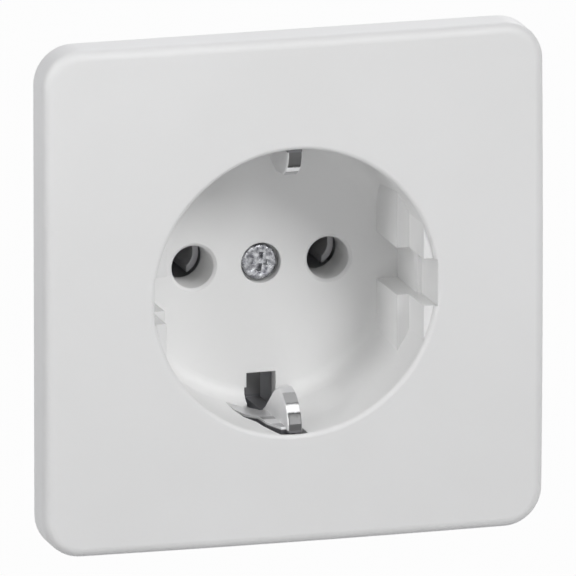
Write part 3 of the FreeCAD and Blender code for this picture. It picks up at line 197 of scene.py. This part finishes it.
# %% [markdown]
# The floor lies well below the socket, so that its shadow falls outside the picture. It
# is a matt pale grey, so that little light comes back up from it, and the camera sees it
# as almost plain white with only a trace of its shading left.

# %% Floor
FLOOR_WHITE = 0.97
FLOOR_SIDE = 6.0
FLOOR_ROUGHNESS = 0.9
FLOOR_GREYS = (0.50, 0.56)
CLOUDS_PER_M = 3.0

bpy.ops.object.select_all(action="DESELECT")
bpy.ops.mesh.primitive_plane_add(size=FLOOR_SIDE, location=(0.0, 0.0, -FLOOR_DROP * MM))
floor = bpy.context.active_object
floor.name = "floor"
floor_finish = bpy.data.materials.new("floor_pale")
floor_finish.use_nodes = True
tree = floor_finish.node_tree
skin = tree.nodes["Principled BSDF"]
skin.inputs["Roughness"].default_value = FLOOR_ROUGHNESS
mottle = tree.nodes.new("ShaderNodeTexNoise")
mottle.inputs["Scale"].default_value = CLOUDS_PER_M
shade = tree.nodes.new("ShaderNodeMapRange")
shade.inputs["To Min"].default_value = FLOOR_GREYS[0]
shade.inputs["To Max"].default_value = FLOOR_GREYS[1]
tree.links.new(mottle.outputs["Fac"], shade.inputs["Value"])
tree.links.new(shade.outputs["Result"], skin.inputs["Base Color"])
glow = tree.nodes.new("ShaderNodeEmission")
glow.inputs["Color"].default_value = (1.0, 1.0, 1.0, 1.0)
weaken = tree.nodes.new("ShaderNodeMath")
weaken.operation = "MULTIPLY"
weaken.inputs[1].default_value = FLOOR_WHITE
mix = tree.nodes.new("ShaderNodeMixShader")
tree.links.new(white_rays(tree), weaken.inputs[0])
tree.links.new(weaken.outputs["Value"], mix.inputs["Fac"])
tree.links.new(skin.outputs["BSDF"], mix.inputs[1])
tree.links.new(glow.outputs["Emission"], mix.inputs[2])
tree.links.new(mix.outputs["Shader"], tree.nodes["Material Output"].inputs["Surface"])
floor.data.materials.append(floor_finish)
print("floor", FLOOR_DROP, "mm below the axis")

# %% [markdown]
# Effects that several finishes share are node groups. The first is a fine grain: noise of
# two sizes that makes a height for a bump, and a mask between 0 and 1 for small changes
# of colour and gloss. Patterns follow the piece's own place, so they stay put on it.


# %% Grain group
def new_group(name, inputs, outputs):
    """A node group with number sockets; the inputs carry their usual values."""
    group = bpy.data.node_groups.new(name, "ShaderNodeTree")
    for label, start in inputs:
        socket = group.interface.new_socket(
            label, in_out="INPUT", socket_type="NodeSocketFloat")
        socket.default_value = start
    for label in outputs:
        group.interface.new_socket(label, in_out="OUTPUT", socket_type="NodeSocketFloat")
    return group, group.nodes.new("NodeGroupInput"), group.nodes.new("NodeGroupOutput")


grain, given, result = new_group(
    "fine_grain", (("Grains per m", 3000.0), ("Patches per m", 60.0)), ("Height", "Patch"))
place = grain.nodes.new("ShaderNodeTexCoord")
fine = grain.nodes.new("ShaderNodeTexNoise")
fine.inputs["Detail"].default_value = 3.0
broad = grain.nodes.new("ShaderNodeTexNoise")
broad.inputs["Detail"].default_value = 2.0
for texture, label in ((fine, "Grains per m"), (broad, "Patches per m")):
    grain.links.new(place.outputs["Object"], texture.inputs["Vector"])
    grain.links.new(given.outputs[label], texture.inputs["Scale"])
grain.links.new(fine.outputs["Fac"], result.inputs["Height"])
grain.links.new(broad.outputs["Fac"], result.inputs["Patch"])
print("group", grain.name)

# %% [markdown]
# Rolled or drawn metal has fine lines along the way it was pulled. The lines are noise
# that is stretched along one axis, given as a scale for each axis.

# %% Drawn lines group
drawn, given, result = new_group(
    "drawn_lines",
    (("Across X", 1.0), ("Across Y", 1.0), ("Across Z", 1.0), ("Lines per m", 6000.0)),
    ("Height", "Patch"))
place = drawn.nodes.new("ShaderNodeTexCoord")
weights = drawn.nodes.new("ShaderNodeCombineXYZ")
stretch = drawn.nodes.new("ShaderNodeVectorMath")
stretch.operation = "MULTIPLY"
lines = drawn.nodes.new("ShaderNodeTexNoise")
lines.inputs["Detail"].default_value = 2.0
broad = drawn.nodes.new("ShaderNodeTexNoise")
broad.inputs["Scale"].default_value = 220.0
for axis in "XYZ":
    drawn.links.new(given.outputs["Across " + axis], weights.inputs[axis])
drawn.links.new(place.outputs["Object"], stretch.inputs[0])
drawn.links.new(weights.outputs["Vector"], stretch.inputs[1])
drawn.links.new(stretch.outputs["Vector"], lines.inputs["Vector"])
drawn.links.new(given.outputs["Lines per m"], lines.inputs["Scale"])
drawn.links.new(place.outputs["Object"], broad.inputs["Vector"])
drawn.links.new(lines.outputs["Fac"], result.inputs["Height"])
drawn.links.new(broad.outputs["Fac"], result.inputs["Patch"])
print("group", drawn.name)

# %% [markdown]
# No moulded or pressed edge is perfectly sharp. The Bevel node gives a normal that turns
# softly over an edge of a chosen width, and where it leaves the flat normal there is an
# edge: that difference is the mask for worn, lighter edges. The mask starts where the two
# normals part by about 6 degrees and is full at 37 degrees.

# %% Soft edge group
EDGE_START = 0.995
EDGE_FULL = 0.80

edges, given, result = new_group("soft_edge", (("Edge width", 0.0002),), ("Mask",))
edges.interface.new_socket("Normal", in_out="OUTPUT", socket_type="NodeSocketVector")
bevel = edges.nodes.new("ShaderNodeBevel")
flat = edges.nodes.new("ShaderNodeNewGeometry")
compare = edges.nodes.new("ShaderNodeVectorMath")
compare.operation = "DOT_PRODUCT"
mask = edges.nodes.new("ShaderNodeMapRange")
mask.inputs["From Min"].default_value = EDGE_START
mask.inputs["From Max"].default_value = EDGE_FULL
edges.links.new(given.outputs["Edge width"], bevel.inputs["Radius"])
edges.links.new(bevel.outputs["Normal"], compare.inputs[0])
edges.links.new(flat.outputs["Normal"], compare.inputs[1])
edges.links.new(compare.outputs["Value"], mask.inputs["Value"])
edges.links.new(mask.outputs["Result"], result.inputs["Mask"])
edges.links.new(bevel.outputs["Normal"], result.inputs["Normal"])
print("group", edges.name)

# %% [markdown]
# Metal that has been handled carries fine scratches. A scratch is where a noise that is
# stretched very long crosses its middle value, so that three of them, turned against each
# other, give a thin crossing net of lines. Each way below is an angle in radians and a
# stretch, and the angle turns the noise about all three axes, by the shares of TURNS.

# %% Scratch group
SCRATCH_WAYS = ((0.5, 9.0), (-0.9, 7.0), (1.6, 11.0))
TURNS = (0.6, 1.0, 1.3)

scratches, given, result = new_group(
    "scratches", (("Scratches per m", 900.0), ("Thinness", 0.03)), ("Mask",))
place = scratches.nodes.new("ShaderNodeTexCoord")
total = None
for angle, stretch_by in SCRATCH_WAYS:
    turned = scratches.nodes.new("ShaderNodeMapping")
    turned.inputs["Rotation"].default_value = [angle * share for share in TURNS]
    turned.inputs["Scale"].default_value = (1.0, stretch_by, 1.0)
    noise = scratches.nodes.new("ShaderNodeTexNoise")
    noise.inputs["Detail"].default_value = 1.0
    centre = scratches.nodes.new("ShaderNodeMath")
    centre.operation = "COMPARE"
    centre.inputs[1].default_value = 0.5
    scratches.links.new(place.outputs["Object"], turned.inputs["Vector"])
    scratches.links.new(turned.outputs["Vector"], noise.inputs["Vector"])
    scratches.links.new(given.outputs["Scratches per m"], noise.inputs["Scale"])
    scratches.links.new(given.outputs["Thinness"], centre.inputs[2])
    scratches.links.new(noise.outputs["Fac"], centre.inputs[0])
    if total:
        both = scratches.nodes.new("ShaderNodeMath")
        both.operation = "MAXIMUM"
        scratches.links.new(total.outputs["Value"], both.inputs[0])
        scratches.links.new(centre.outputs["Value"], both.inputs[1])
        total = both
    else:
        total = centre
scratches.links.new(total.outputs["Value"], result.inputs["Mask"])
print("group", scratches.name)

# %% [markdown]
# The next helpers put one step of a material in place and hand on its output. A noise
# keeps mostly between 0.3 and 0.7, so put_range stretches that part of it. A finish gets
# an even gloss where both ends of its range are the same, and no bump at depth 0.


# %% Finish from a group
def put_range(tree, source, low, high, near=0.3, far=0.7):
    """The source, stretched so that near to far becomes low to high."""
    spread = tree.nodes.new("ShaderNodeMapRange")
    spread.inputs["From Min"].default_value = near
    spread.inputs["From Max"].default_value = far
    spread.inputs["To Min"].default_value = low
    spread.inputs["To Max"].default_value = high
    tree.links.new(source, spread.inputs["Value"])
    return spread.outputs["Result"]


def put_blend(tree, factor, first, second):
    """A colour between two, where the factor runs from 0 to 1."""
    blend = tree.nodes.new("ShaderNodeMix")
    blend.data_type = "RGBA"
    blend.inputs["A"].default_value = (*first, 1.0)
    blend.inputs["B"].default_value = (*second, 1.0)
    tree.links.new(factor, blend.inputs["Factor"])
    return blend.outputs["Result"]


def put_group(tree, group, settings):
    """A node group with its own settings."""
    node = tree.nodes.new("ShaderNodeGroup")
    node.node_tree = group
    for label, amount in settings.items():
        node.inputs[label].default_value = amount
    return node


def put_bump(tree, source, depth, normal):
    """A bump of a depth in millimetres, on top of a normal."""
    bump = tree.nodes.new("ShaderNodeBump")
    bump.inputs["Distance"].default_value = depth * MM
    tree.links.new(source, bump.inputs["Height"])
    tree.links.new(normal, bump.inputs["Normal"])
    return bump.outputs["Normal"]


def make_finish(name, group, settings, colours, gloss, depth,
                edge_width, edge_colour, metal=0.0):
    """A material whose colour, roughness and bump follow one of the groups, with soft edges."""
    finish = bpy.data.materials.new(name)
    finish.use_nodes = True
    tree = finish.node_tree
    skin = tree.nodes["Principled BSDF"]
    skin.inputs["Metallic"].default_value = metal
    pattern = put_group(tree, group, settings)
    edge = put_group(tree, edges, {"Edge width": edge_width * MM})
    cloud = put_blend(tree, put_range(tree, pattern.outputs["Patch"], 0.0, 1.0), *colours)
    worn = tree.nodes.new("ShaderNodeMix")
    worn.data_type = "RGBA"
    worn.inputs["B"].default_value = (*edge_colour, 1.0)
    tree.links.new(edge.outputs["Mask"], worn.inputs["Factor"])
    tree.links.new(cloud, worn.inputs["A"])
    tree.links.new(worn.outputs["Result"], skin.inputs["Base Color"])
    skin.inputs["Roughness"].default_value = gloss[0]
    if gloss[1] > gloss[0]:
        tree.links.new(put_range(tree, pattern.outputs["Height"], *gloss), skin.inputs["Roughness"])
    normal = edge.outputs["Normal"]
    if depth:
        normal = put_bump(tree, pattern.outputs["Height"], depth, normal)
    tree.links.new(normal, skin.inputs["Normal"])
    return finish


print("finishes are made from groups")

# %% [markdown]
# The cover is moulded in a white plastic with a satin gloss. It shows a very fine grain
# from the mould and hardly any change of colour.

# %% White cover finish
cover_white = make_finish(
    "cover_white", grain, {"Grains per m": 2600.0, "Patches per m": 45.0},
    colours=((0.852, 0.852, 0.846), (0.872, 0.872, 0.868)),
    gloss=(0.44, 0.52), depth=0.004, edge_width=0.22, edge_colour=(0.88, 0.88, 0.875))
cover_white.node_tree.nodes["Principled BSDF"].inputs["Specular IOR Level"].default_value = 0.38
print(cover_white.name)

# %% [markdown]
# The base and the contact lid are a grey, matt thermoset with a coarser skin, paler where
# its edges have been rubbed. The retainer is pressed fibre.

# %% Grey base finish
base_grey = make_finish(
    "base_grey", grain, {"Grains per m": 1800.0, "Patches per m": 120.0},
    colours=((0.56, 0.57, 0.59), (0.63, 0.64, 0.66)),
    gloss=(0.48, 0.62), depth=0.012, edge_width=0.25, edge_colour=(0.68, 0.69, 0.71))
print(base_grey.name)

# %% Retainer finish
retainer_fibre = make_finish(
    "retainer_fibre", grain, {"Grains per m": 1500.0, "Patches per m": 300.0},
    colours=((0.70, 0.70, 0.66), (0.80, 0.80, 0.77)),
    gloss=(0.35, 0.50), depth=0.01, edge_width=0.08, edge_colour=(0.82, 0.82, 0.80))
print(retainer_fibre.name)

# %% [markdown]
# Zinc plating on the steel pieces is a cool grey with faint cloudy patches. The live
# contacts are nickel plated and worn to a satin, with lines along the strip, and the
# terminals are drawn brass.

# %% Sheet metal finishes
zinc_steel = make_finish(
    "zinc_steel", drawn, {"Across X": 0.06, "Lines per m": 4000.0},
    colours=((0.62, 0.63, 0.65), (0.76, 0.77, 0.79)),
    gloss=(0.30, 0.44), depth=0.004, edge_width=0.12, edge_colour=(0.82, 0.83, 0.84), metal=1.0)
contact_satin = make_finish(
    "contact_satin", drawn, {"Across Z": 0.08, "Across Y": 0.3, "Lines per m": 5000.0},
    colours=((0.78, 0.78, 0.79), (0.86, 0.86, 0.87)),
    gloss=(0.34, 0.46), depth=0.001, edge_width=0.08, edge_colour=(0.90, 0.90, 0.90), metal=0.4)
drawn_brass = make_finish(
    "drawn_brass", drawn, {"Across Y": 0.06, "Lines per m": 4500.0},
    colours=((0.70, 0.53, 0.26), (0.82, 0.66, 0.38)),
    gloss=(0.22, 0.36), depth=0.004, edge_width=0.12, edge_colour=(0.88, 0.74, 0.46), metal=1.0)
print(zinc_steel.name, contact_satin.name, drawn_brass.name)

# %% [markdown]
# Across the strip of each earth finger, bands of grey are painted highlight and painted
# shade: the light and dark stripes that reflections lay on its facets. The bands lie at
# fixed depths in the recess, so a ramp along Y makes them: each pair below is a depth in
# millimetres and the grey there. Noise frays the ends of the bands. A new ramp has two
# stops, so the first two pairs use those and the others add theirs.

# %% Painted highlight and shade on the earth fingers
BAND_FRAY = 0.3
FRAYS_PER_M = 1500.0
# The light greys are painted highlight and the dark greys painted shade on the strip's facets.
PAINTED_LIGHT_BANDS = (
    (-6.0, 0.12), (-5.1, 0.10), (-4.95, 0.05), (-4.8, 0.06), (-4.7, 0.95), (-4.1, 0.95),
    (-3.95, 0.30), (-3.85, 0.30), (-3.75, 0.55), (-2.3, 0.55), (-2.0, 0.86), (0.2, 0.86),
    (0.7, 0.40), (1.6, 0.44), (2.1, 0.72), (10.5, 0.66), (11.5, 0.22), (14.0, 0.20))

finger_nickel = make_finish(
    "finger_nickel", grain, {"Grains per m": 2600.0, "Patches per m": 200.0},
    colours=((0.78, 0.78, 0.79), (0.88, 0.88, 0.88)),
    gloss=(0.30, 0.30), depth=0.0, edge_width=0.08, edge_colour=(0.90, 0.90, 0.90), metal=0.5)
tree = finger_nickel.node_tree
skin = tree.nodes["Principled BSDF"]
place = tree.nodes.new("ShaderNodeTexCoord")
split = tree.nodes.new("ShaderNodeSeparateXYZ")
fray = tree.nodes.new("ShaderNodeTexNoise")
fray.inputs["Scale"].default_value = FRAYS_PER_M
shifted = tree.nodes.new("ShaderNodeMath")
shifted.operation = "MULTIPLY_ADD"
shifted.inputs[1].default_value = BAND_FRAY * MM
depth_share = tree.nodes.new("ShaderNodeMapRange")
depth_share.inputs["From Min"].default_value = PAINTED_LIGHT_BANDS[0][0] * MM
depth_share.inputs["From Max"].default_value = PAINTED_LIGHT_BANDS[-1][0] * MM
ramp = tree.nodes.new("ShaderNodeValToRGB")
span = PAINTED_LIGHT_BANDS[-1][0] - PAINTED_LIGHT_BANDS[0][0]
for number, (depth, tone) in enumerate(PAINTED_LIGHT_BANDS):
    share = (depth - PAINTED_LIGHT_BANDS[0][0]) / span
    stop = ramp.color_ramp.elements[number] if number < 2 else ramp.color_ramp.elements.new(share)
    stop.position = share
    stop.color = (tone, tone, tone * 1.01, 1.0)
tree.links.new(place.outputs["Object"], split.inputs["Vector"])
tree.links.new(place.outputs["Object"], fray.inputs["Vector"])
tree.links.new(fray.outputs["Fac"], shifted.inputs[0])
tree.links.new(split.outputs["Y"], shifted.inputs[2])
tree.links.new(shifted.outputs["Value"], depth_share.inputs["Value"])
tree.links.new(depth_share.outputs["Result"], ramp.inputs["Fac"])
print(finger_nickel.name, "with", len(PAINTED_LIGHT_BANDS), "band ends")

# %% [markdown]
# The painted bands of highlight and shade cross the strip only. The cheeks of a finger
# face left and right, so the X part of the normal tells them from the strip, and they keep
# the plain colour.

# %% Keep the cheeks plain
CHEEK_FROM = 0.75
STRIP_FROM = 0.35

flat = tree.nodes.new("ShaderNodeNewGeometry")
facing = tree.nodes.new("ShaderNodeSeparateXYZ")
sideways = tree.nodes.new("ShaderNodeMath")
sideways.operation = "ABSOLUTE"
strip_only = tree.nodes.new("ShaderNodeMapRange")
strip_only.inputs["From Min"].default_value = CHEEK_FROM
strip_only.inputs["From Max"].default_value = STRIP_FROM
blend = tree.nodes.new("ShaderNodeMix")
blend.data_type = "RGBA"
plain_colour = skin.inputs["Base Color"].links[0].from_socket
tree.links.new(flat.outputs["Normal"], facing.inputs["Vector"])
tree.links.new(facing.outputs["X"], sideways.inputs[0])
tree.links.new(sideways.outputs["Value"], strip_only.inputs["Value"])
tree.links.new(strip_only.outputs["Result"], blend.inputs["Factor"])
tree.links.new(plain_colour, blend.inputs["A"])
# The strip takes the painted highlight and shade of the bands.
tree.links.new(ramp.outputs["Color"], blend.inputs["B"])
print("cheeks stay plain")

# %% [markdown]
# Where the bracket lies past the wall of the recess, in the slot behind it, its colour is
# darkened to near black: painted shade for the shadow in that gap. How far a point is above
# or below the axis tells on which side of the wall it lies.

# %% Painted shade past the wall
WALL_PLACE = 19.2
SHADE_FADE_WITHIN = 0.15
# This grey is painted shade, the shadow in the gap past the wall.
PAINTED_SHADE_GREY = (0.16, 0.16, 0.17, 1.0)

outward = tree.nodes.new("ShaderNodeMath")
outward.operation = "ABSOLUTE"
past_wall = tree.nodes.new("ShaderNodeMapRange")
past_wall.inputs["From Min"].default_value = WALL_PLACE * MM
past_wall.inputs["From Max"].default_value = (WALL_PLACE + SHADE_FADE_WITHIN) * MM
painted_shade_mix = tree.nodes.new("ShaderNodeMix")
painted_shade_mix.data_type = "RGBA"
painted_shade_mix.inputs["B"].default_value = PAINTED_SHADE_GREY
tree.links.new(split.outputs["Z"], outward.inputs[0])
tree.links.new(outward.outputs["Value"], past_wall.inputs["Value"])
tree.links.new(past_wall.outputs["Result"], painted_shade_mix.inputs["Factor"])
tree.links.new(blend.outputs["Result"], painted_shade_mix.inputs["A"])
tree.links.new(painted_shade_mix.outputs["Result"], skin.inputs["Base Color"])
print("dull beyond", WALL_PLACE, "mm")

# %% [markdown]
# The centre screw is the most handled piece. Its plating is uneven, so the bump is coarser
# than on the sheets and glints in small spots, and scratches cross it. Its colour runs in
# small patches from near black to light grey: partly uneven plating, partly painted glints
# and painted dark reflections. The hidden screws are hardly ever turned and keep an even,
# bright plating.

# %% Screw finishes
SCRATCH_DEPTH = 0.03

# The dark and light colour patches are uneven plating, together with painted glints and painted
# reflections.
screw_steel_painted_glints = make_finish(
    "screw_steel_painted_glints", grain, {"Grains per m": 2400.0, "Patches per m": 1700.0},
    colours=((0.13, 0.13, 0.15), (0.62, 0.63, 0.65)),
    gloss=(0.20, 0.40), depth=0.12, edge_width=0.08, edge_colour=(0.72, 0.73, 0.74), metal=1.0)
tree = screw_steel_painted_glints.node_tree
marks = put_group(tree, scratches, {})
skin = tree.nodes["Principled BSDF"]
below = skin.inputs["Normal"].links[0].from_socket
tree.links.new(put_bump(tree, marks.outputs["Mask"], SCRATCH_DEPTH, below), skin.inputs["Normal"])
bright_steel = make_finish(
    "bright_steel", grain, {"Grains per m": 2400.0, "Patches per m": 300.0},
    colours=((0.44, 0.45, 0.47), (0.60, 0.61, 0.63)),
    gloss=(0.24, 0.36), depth=0.003, edge_width=0.08, edge_colour=(0.76, 0.77, 0.79), metal=1.0)
print(screw_steel_painted_glints.name, bright_steel.name)

# %% [markdown]
# Each solid takes the finish whose key is the longest start of its name. The solids that
# no key fits are screws, which detailed ones replace further on.

# %% Dress the solids
FINISHES = {
    "cover": cover_white,
    "base_housing": base_grey,
    "contact_lid": base_grey,
    "screw_retainer": retainer_fibre,
    "support_plate": zinc_steel,
    "earth_bracket": finger_nickel,
    "earth_strap": drawn_brass,
    "centre_bush": drawn_brass,
    "live_contact": contact_satin,
    "terminal_block": drawn_brass,
    "earth_terminal_block": drawn_brass,
    "claw_left": zinc_steel,
    "claw_right": zinc_steel,
    "claw_pin": zinc_steel,
    "plate_rivet": zinc_steel,
}
for name, solid in nodes.items():
    fits = [key_name for key_name in FINISHES if name.startswith(key_name)]
    finish = FINISHES[max(fits, key=len)] if fits else screw_steel_painted_glints
    solid.data.materials.clear()
    solid.data.materials.append(finish)
    print(name, finish.name)

# %% [markdown]
# The screws need more than the plain solids: a domed head with a rim, a slot crossed by a
# cross recess, and a thread. Each kind is modelled at the origin with its axis upright,
# copied, turned into its place, and takes the place of its solid.

# %% Helpers for modelling
HAIR = 0.001
SMOOTH_BELOW = math.radians(32)


def in_edit(piece, job):
    """Run one job in edit mode on a piece that alone is selected."""
    bpy.ops.object.select_all(action="DESELECT")
    piece.select_set(True)
    bpy.context.view_layer.objects.active = piece
    bpy.ops.object.mode_set(mode="EDIT")
    job()
    bpy.ops.object.mode_set(mode="OBJECT")


def select_edges(piece, wanted):
    """Select the edges whose two ends pass a test; it is used in object mode."""
    mesh = piece.data
    for part in (*mesh.vertices, *mesh.edges, *mesh.polygons):
        part.select = False
    for edge in mesh.edges:
        edge.select = all(wanted(mesh.vertices[index].co) for index in edge.vertices)


def apply_modifier(piece, kind, **settings):
    """Add one modifier to a piece and apply it at once."""
    bpy.ops.object.select_all(action="DESELECT")
    piece.select_set(True)
    bpy.context.view_layer.objects.active = piece
    modifier = piece.modifiers.new(kind.lower(), kind)
    for label, amount in settings.items():
        setattr(modifier, label, amount)
    bpy.ops.object.modifier_apply(modifier=modifier.name)


def cylinder(radius, bottom, top, sides):
    """An upright cylinder between two heights, in millimetres."""
    bpy.ops.object.select_all(action="DESELECT")
    bpy.ops.mesh.primitive_cylinder_add(
        vertices=sides, radius=radius * MM, depth=(top - bottom) * MM,
        location=(0.0, 0.0, (bottom + top) / 2 * MM))
    piece = bpy.context.active_object
    bpy.ops.object.transform_apply(location=True, rotation=True, scale=True)
    return piece


print("helpers ready")

# %% [markdown]
# A head starts as a cylinder. Its top edge is bevelled to a dome, its top face is inset
# and sunk a little, which leaves the turned rim, and the slot and the cross are cut by
# wedges that narrow towards their floor. The dome is a share of the height, and the rim,
# the step and the middle are shares of the radius.

# %% Screw head
HEAD_SIDES = 72
DOME_SHARE = 0.36
DOME_STEPS = 5
RIM_SHARE = 0.06
STEP_SHARE = 0.05
STEP_DEPTH = 0.07
MIDDLE_SHARE = 0.35
MIDDLE_RISE = 0.03
SLOT_WIDTH = 0.8
SLOT_REACH = 2.4
CROSS_WIDTH = 0.9
CROSS_LENGTH = 3.0
CROSS_HEAD = 2.5
WEDGE_TAPER = 0.78
CUTTER_RISE = 1.0


def wedge(length, width, floor_height, top, turn):
    """A cutter above a height, wider at its top than at its floor."""
    bpy.ops.object.select_all(action="DESELECT")
    bpy.ops.mesh.primitive_cube_add(size=1.0, location=(0.0, 0.0, (floor_height + top) / 2 * MM))
    piece = bpy.context.active_object
    piece.scale = (length * MM, width * MM, (top - floor_height) * MM)
    piece.rotation_euler = (0.0, 0.0, turn)
    bpy.ops.object.transform_apply(location=True, rotation=True, scale=True)
    for vertex in piece.data.vertices:
        if vertex.co.z < (floor_height + top) / 2 * MM:
            vertex.co.x *= WEDGE_TAPER
            vertex.co.y *= WEDGE_TAPER
    return piece


def make_head(radius, height, slot_depth, cross_depth):
    """A head that stands on height 0, with a slot and a cross recess in its top."""
    head = cylinder(radius, 0.0, height, HEAD_SIDES)
    rim = (height - HAIR) * MM
    select_edges(head, lambda place: place.z > rim)
    in_edit(head, lambda: bpy.ops.mesh.bevel(
        offset=height * DOME_SHARE * MM, segments=DOME_STEPS, affect="EDGES"))
    mesh = head.data
    for part in (*mesh.vertices, *mesh.edges, *mesh.polygons):
        part.select = False
    top_face = max(mesh.polygons, key=lambda face: face.center.z + face.area)
    top_face.select = True

    def turned_rim():
        bpy.ops.mesh.inset(thickness=radius * RIM_SHARE * MM, depth=0.0)
        bpy.ops.mesh.inset(thickness=radius * STEP_SHARE * MM, depth=-STEP_DEPTH * MM)
        bpy.ops.mesh.inset(thickness=radius * MIDDLE_SHARE * MM, depth=MIDDLE_RISE * MM)

    in_edit(head, turned_rim)
    top = height + CUTTER_RISE
    cross_length = CROSS_LENGTH * radius / CROSS_HEAD
    cutters = [wedge(radius * SLOT_REACH, SLOT_WIDTH, height - slot_depth, top, 0.0)]
    for turn in (0.0, math.pi / 2):
        cutters.append(wedge(cross_length, CROSS_WIDTH, height - cross_depth, top, turn))
    for cutter in cutters:
        apply_modifier(head, "BOOLEAN", object=cutter, operation="DIFFERENCE", solver="EXACT")
        bpy.data.objects.remove(cutter)
    return head


# %% [markdown]
# The thread is a small triangle carried round the core by a Screw modifier, one pitch up
# for each turn. Its two ends are closed, and the core runs through it. The core, the root
# and the crest are shares of the radius, and the ridge is measured in pitches.

# %% Screw thread
CORE_SIDES = 32
CORE_SHARE = 0.80
TIP_SHARE = 0.3
ROOT_SHARE = 0.78
CREST_SHARE = 0.98
CREST_AT = 0.45
RIDGE_WIDE = 0.9
RIDGE_START = 0.35
RIDGE_SPARE = 0.5
THREAD_STEPS = 20


def make_thread(radius, length, pitch, plain):
    """A threaded shank from height 0 down; the first stretch below the head stays plain."""
    core = cylinder(radius * CORE_SHARE, -length, 0.0, CORE_SIDES)
    tip = (-length + HAIR) * MM
    select_edges(core, lambda place: place.z < tip)
    in_edit(core, lambda: bpy.ops.mesh.bevel(
        offset=radius * TIP_SHARE * MM, segments=1, affect="EDGES"))
    bpy.ops.object.select_all(action="DESELECT")
    bpy.ops.mesh.primitive_circle_add(vertices=3, radius=1.0, fill_type="NOTHING")
    ridge = bpy.context.active_object
    root, crest = radius * ROOT_SHARE, radius * CREST_SHARE
    corners = ((root, 0.0), (crest, pitch * CREST_AT), (root, pitch * RIDGE_WIDE))
    turns = int((length - plain - radius * RIDGE_SPARE) / pitch)
    for vertex, (across, up_by) in zip(ridge.data.vertices, corners):
        vertex.co = (across * MM, 0.0, (up_by - length + radius * RIDGE_START) * MM)
    apply_modifier(ridge, "SCREW", axis="Z", angle=2 * math.pi, screw_offset=pitch * MM,
                   iterations=turns, steps=THREAD_STEPS, render_steps=THREAD_STEPS)

    def close_ends():
        bpy.ops.mesh.select_all(action="DESELECT")
        bpy.ops.mesh.select_non_manifold()
        bpy.ops.mesh.fill_holes(sides=3)
        bpy.ops.mesh.select_all(action="SELECT")
        bpy.ops.mesh.normals_make_consistent(inside=False)

    in_edit(ridge, close_ends)
    return [core, ridge]


# %% [markdown]
# Every screw lies along Y. The box of its solid gives its place: the middle of the box
# across and up, and the end of the box where the head sits.


# %% Screw in its place
def join(parts, name):
    """One piece out of several, smooth except at its sharp edges."""
    bpy.ops.object.select_all(action="DESELECT")
    for part in parts:
        part.select_set(True)
    bpy.context.view_layer.objects.active = parts[0]
    bpy.ops.object.join()
    piece = bpy.context.active_object
    piece.name = name
    bpy.ops.object.shade_smooth_by_angle(angle=SMOOTH_BELOW)
    return piece


def seat_screw(pattern, node, body, head_height, faces_viewer, turn):
    """A copy of the pattern, turned to face the viewer or the rear, at its solid's place."""
    low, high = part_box(node)
    piece = pattern.copy()
    piece.data = pattern.data.copy()
    piece.name = node + "_detailed"
    bpy.context.scene.collection.objects.link(piece)
    lean = math.pi / 2 if faces_viewer else -math.pi / 2
    seat = low[1] + head_height * MM if faces_viewer else high[1] - head_height * MM
    piece.rotation_euler = (lean, turn, 0.0)
    piece.location = ((low[0] + high[0]) / 2, seat, (low[2] + high[2]) / 2)
    bpy.ops.object.select_all(action="DESELECT")
    piece.select_set(True)
    bpy.context.view_layer.objects.active = piece
    bpy.ops.object.transform_apply(location=True, rotation=True, scale=True)
    piece.data.materials.clear()
    piece.data.materials.append(screw_steel_painted_glints if node == "centre_screw" else bright_steel)
    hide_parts(node)
    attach(piece, body)
    print(node, [round(1000 * v, 2) for v in (*low, *high)], len(piece.data.polygons), "faces")


# %% [markdown]
# There are four kinds: the centre screw that holds the cover, the long claw screws, the
# short clamping screws of the terminals, and the two screws of the contact lid. A row
# gives the head's radius, height, slot depth and cross depth, then the shank's radius,
# length, pitch and plain stretch, all in millimetres. Then come the screws of that kind,
# each with the body it rides on and how many degrees its slot is turned.

# %% All screws
KINDS = (
    ("centre", (2.5, 1.25, 0.56, 0.94), (1.5, 8.0, 0.5, 0.6),
     (("centre_screw", "socket", 8.0),)),
    ("claw", (2.5, 1.7, 0.77, 1.28), (1.5, 24.2, 0.5, 1.5),
     (("claw_screw_left", "claw_screw_left", 35.0),
      ("claw_screw_right", "claw_screw_right", -20.0))),
    ("terminal", (2.5, 1.4, 0.63, 1.05), (1.6, 3.6, 0.6, 0.4),
     (("terminal_screw_left_inner", "socket", 20.0),
      ("terminal_screw_left_outer", "socket", -35.0),
      ("terminal_screw_right_inner", "socket", 65.0),
      ("terminal_screw_right_outer", "socket", 5.0),
      ("earth_screw_left", "socket", -60.0),
      ("earth_screw_right", "socket", 40.0))),
    ("lid", (2.0, 1.3, 0.59, 0.98), (1.1, 6.4, 0.45, 0.5),
     (("lid_screw_lower", "socket", 15.0),
      ("lid_screw_upper", "socket", -25.0))),
)
for kind, head_sizes, shank_sizes, places in KINDS:
    parts = [make_head(*head_sizes), *make_thread(*shank_sizes)]
    pattern = join(parts, kind + "_screw_pattern")
    head_height = head_sizes[1]
    for node, body, degrees in places:
        seat_screw(pattern, node, body, head_height, kind != "terminal", math.radians(degrees))
    bpy.data.objects.remove(pattern)

# %% [markdown]
# Rendering settings stay as they are. Only the view transform is set, so that a colour
# shows about as it is written.

# %% View and end
bpy.context.scene.view_settings.view_transform = "Standard"
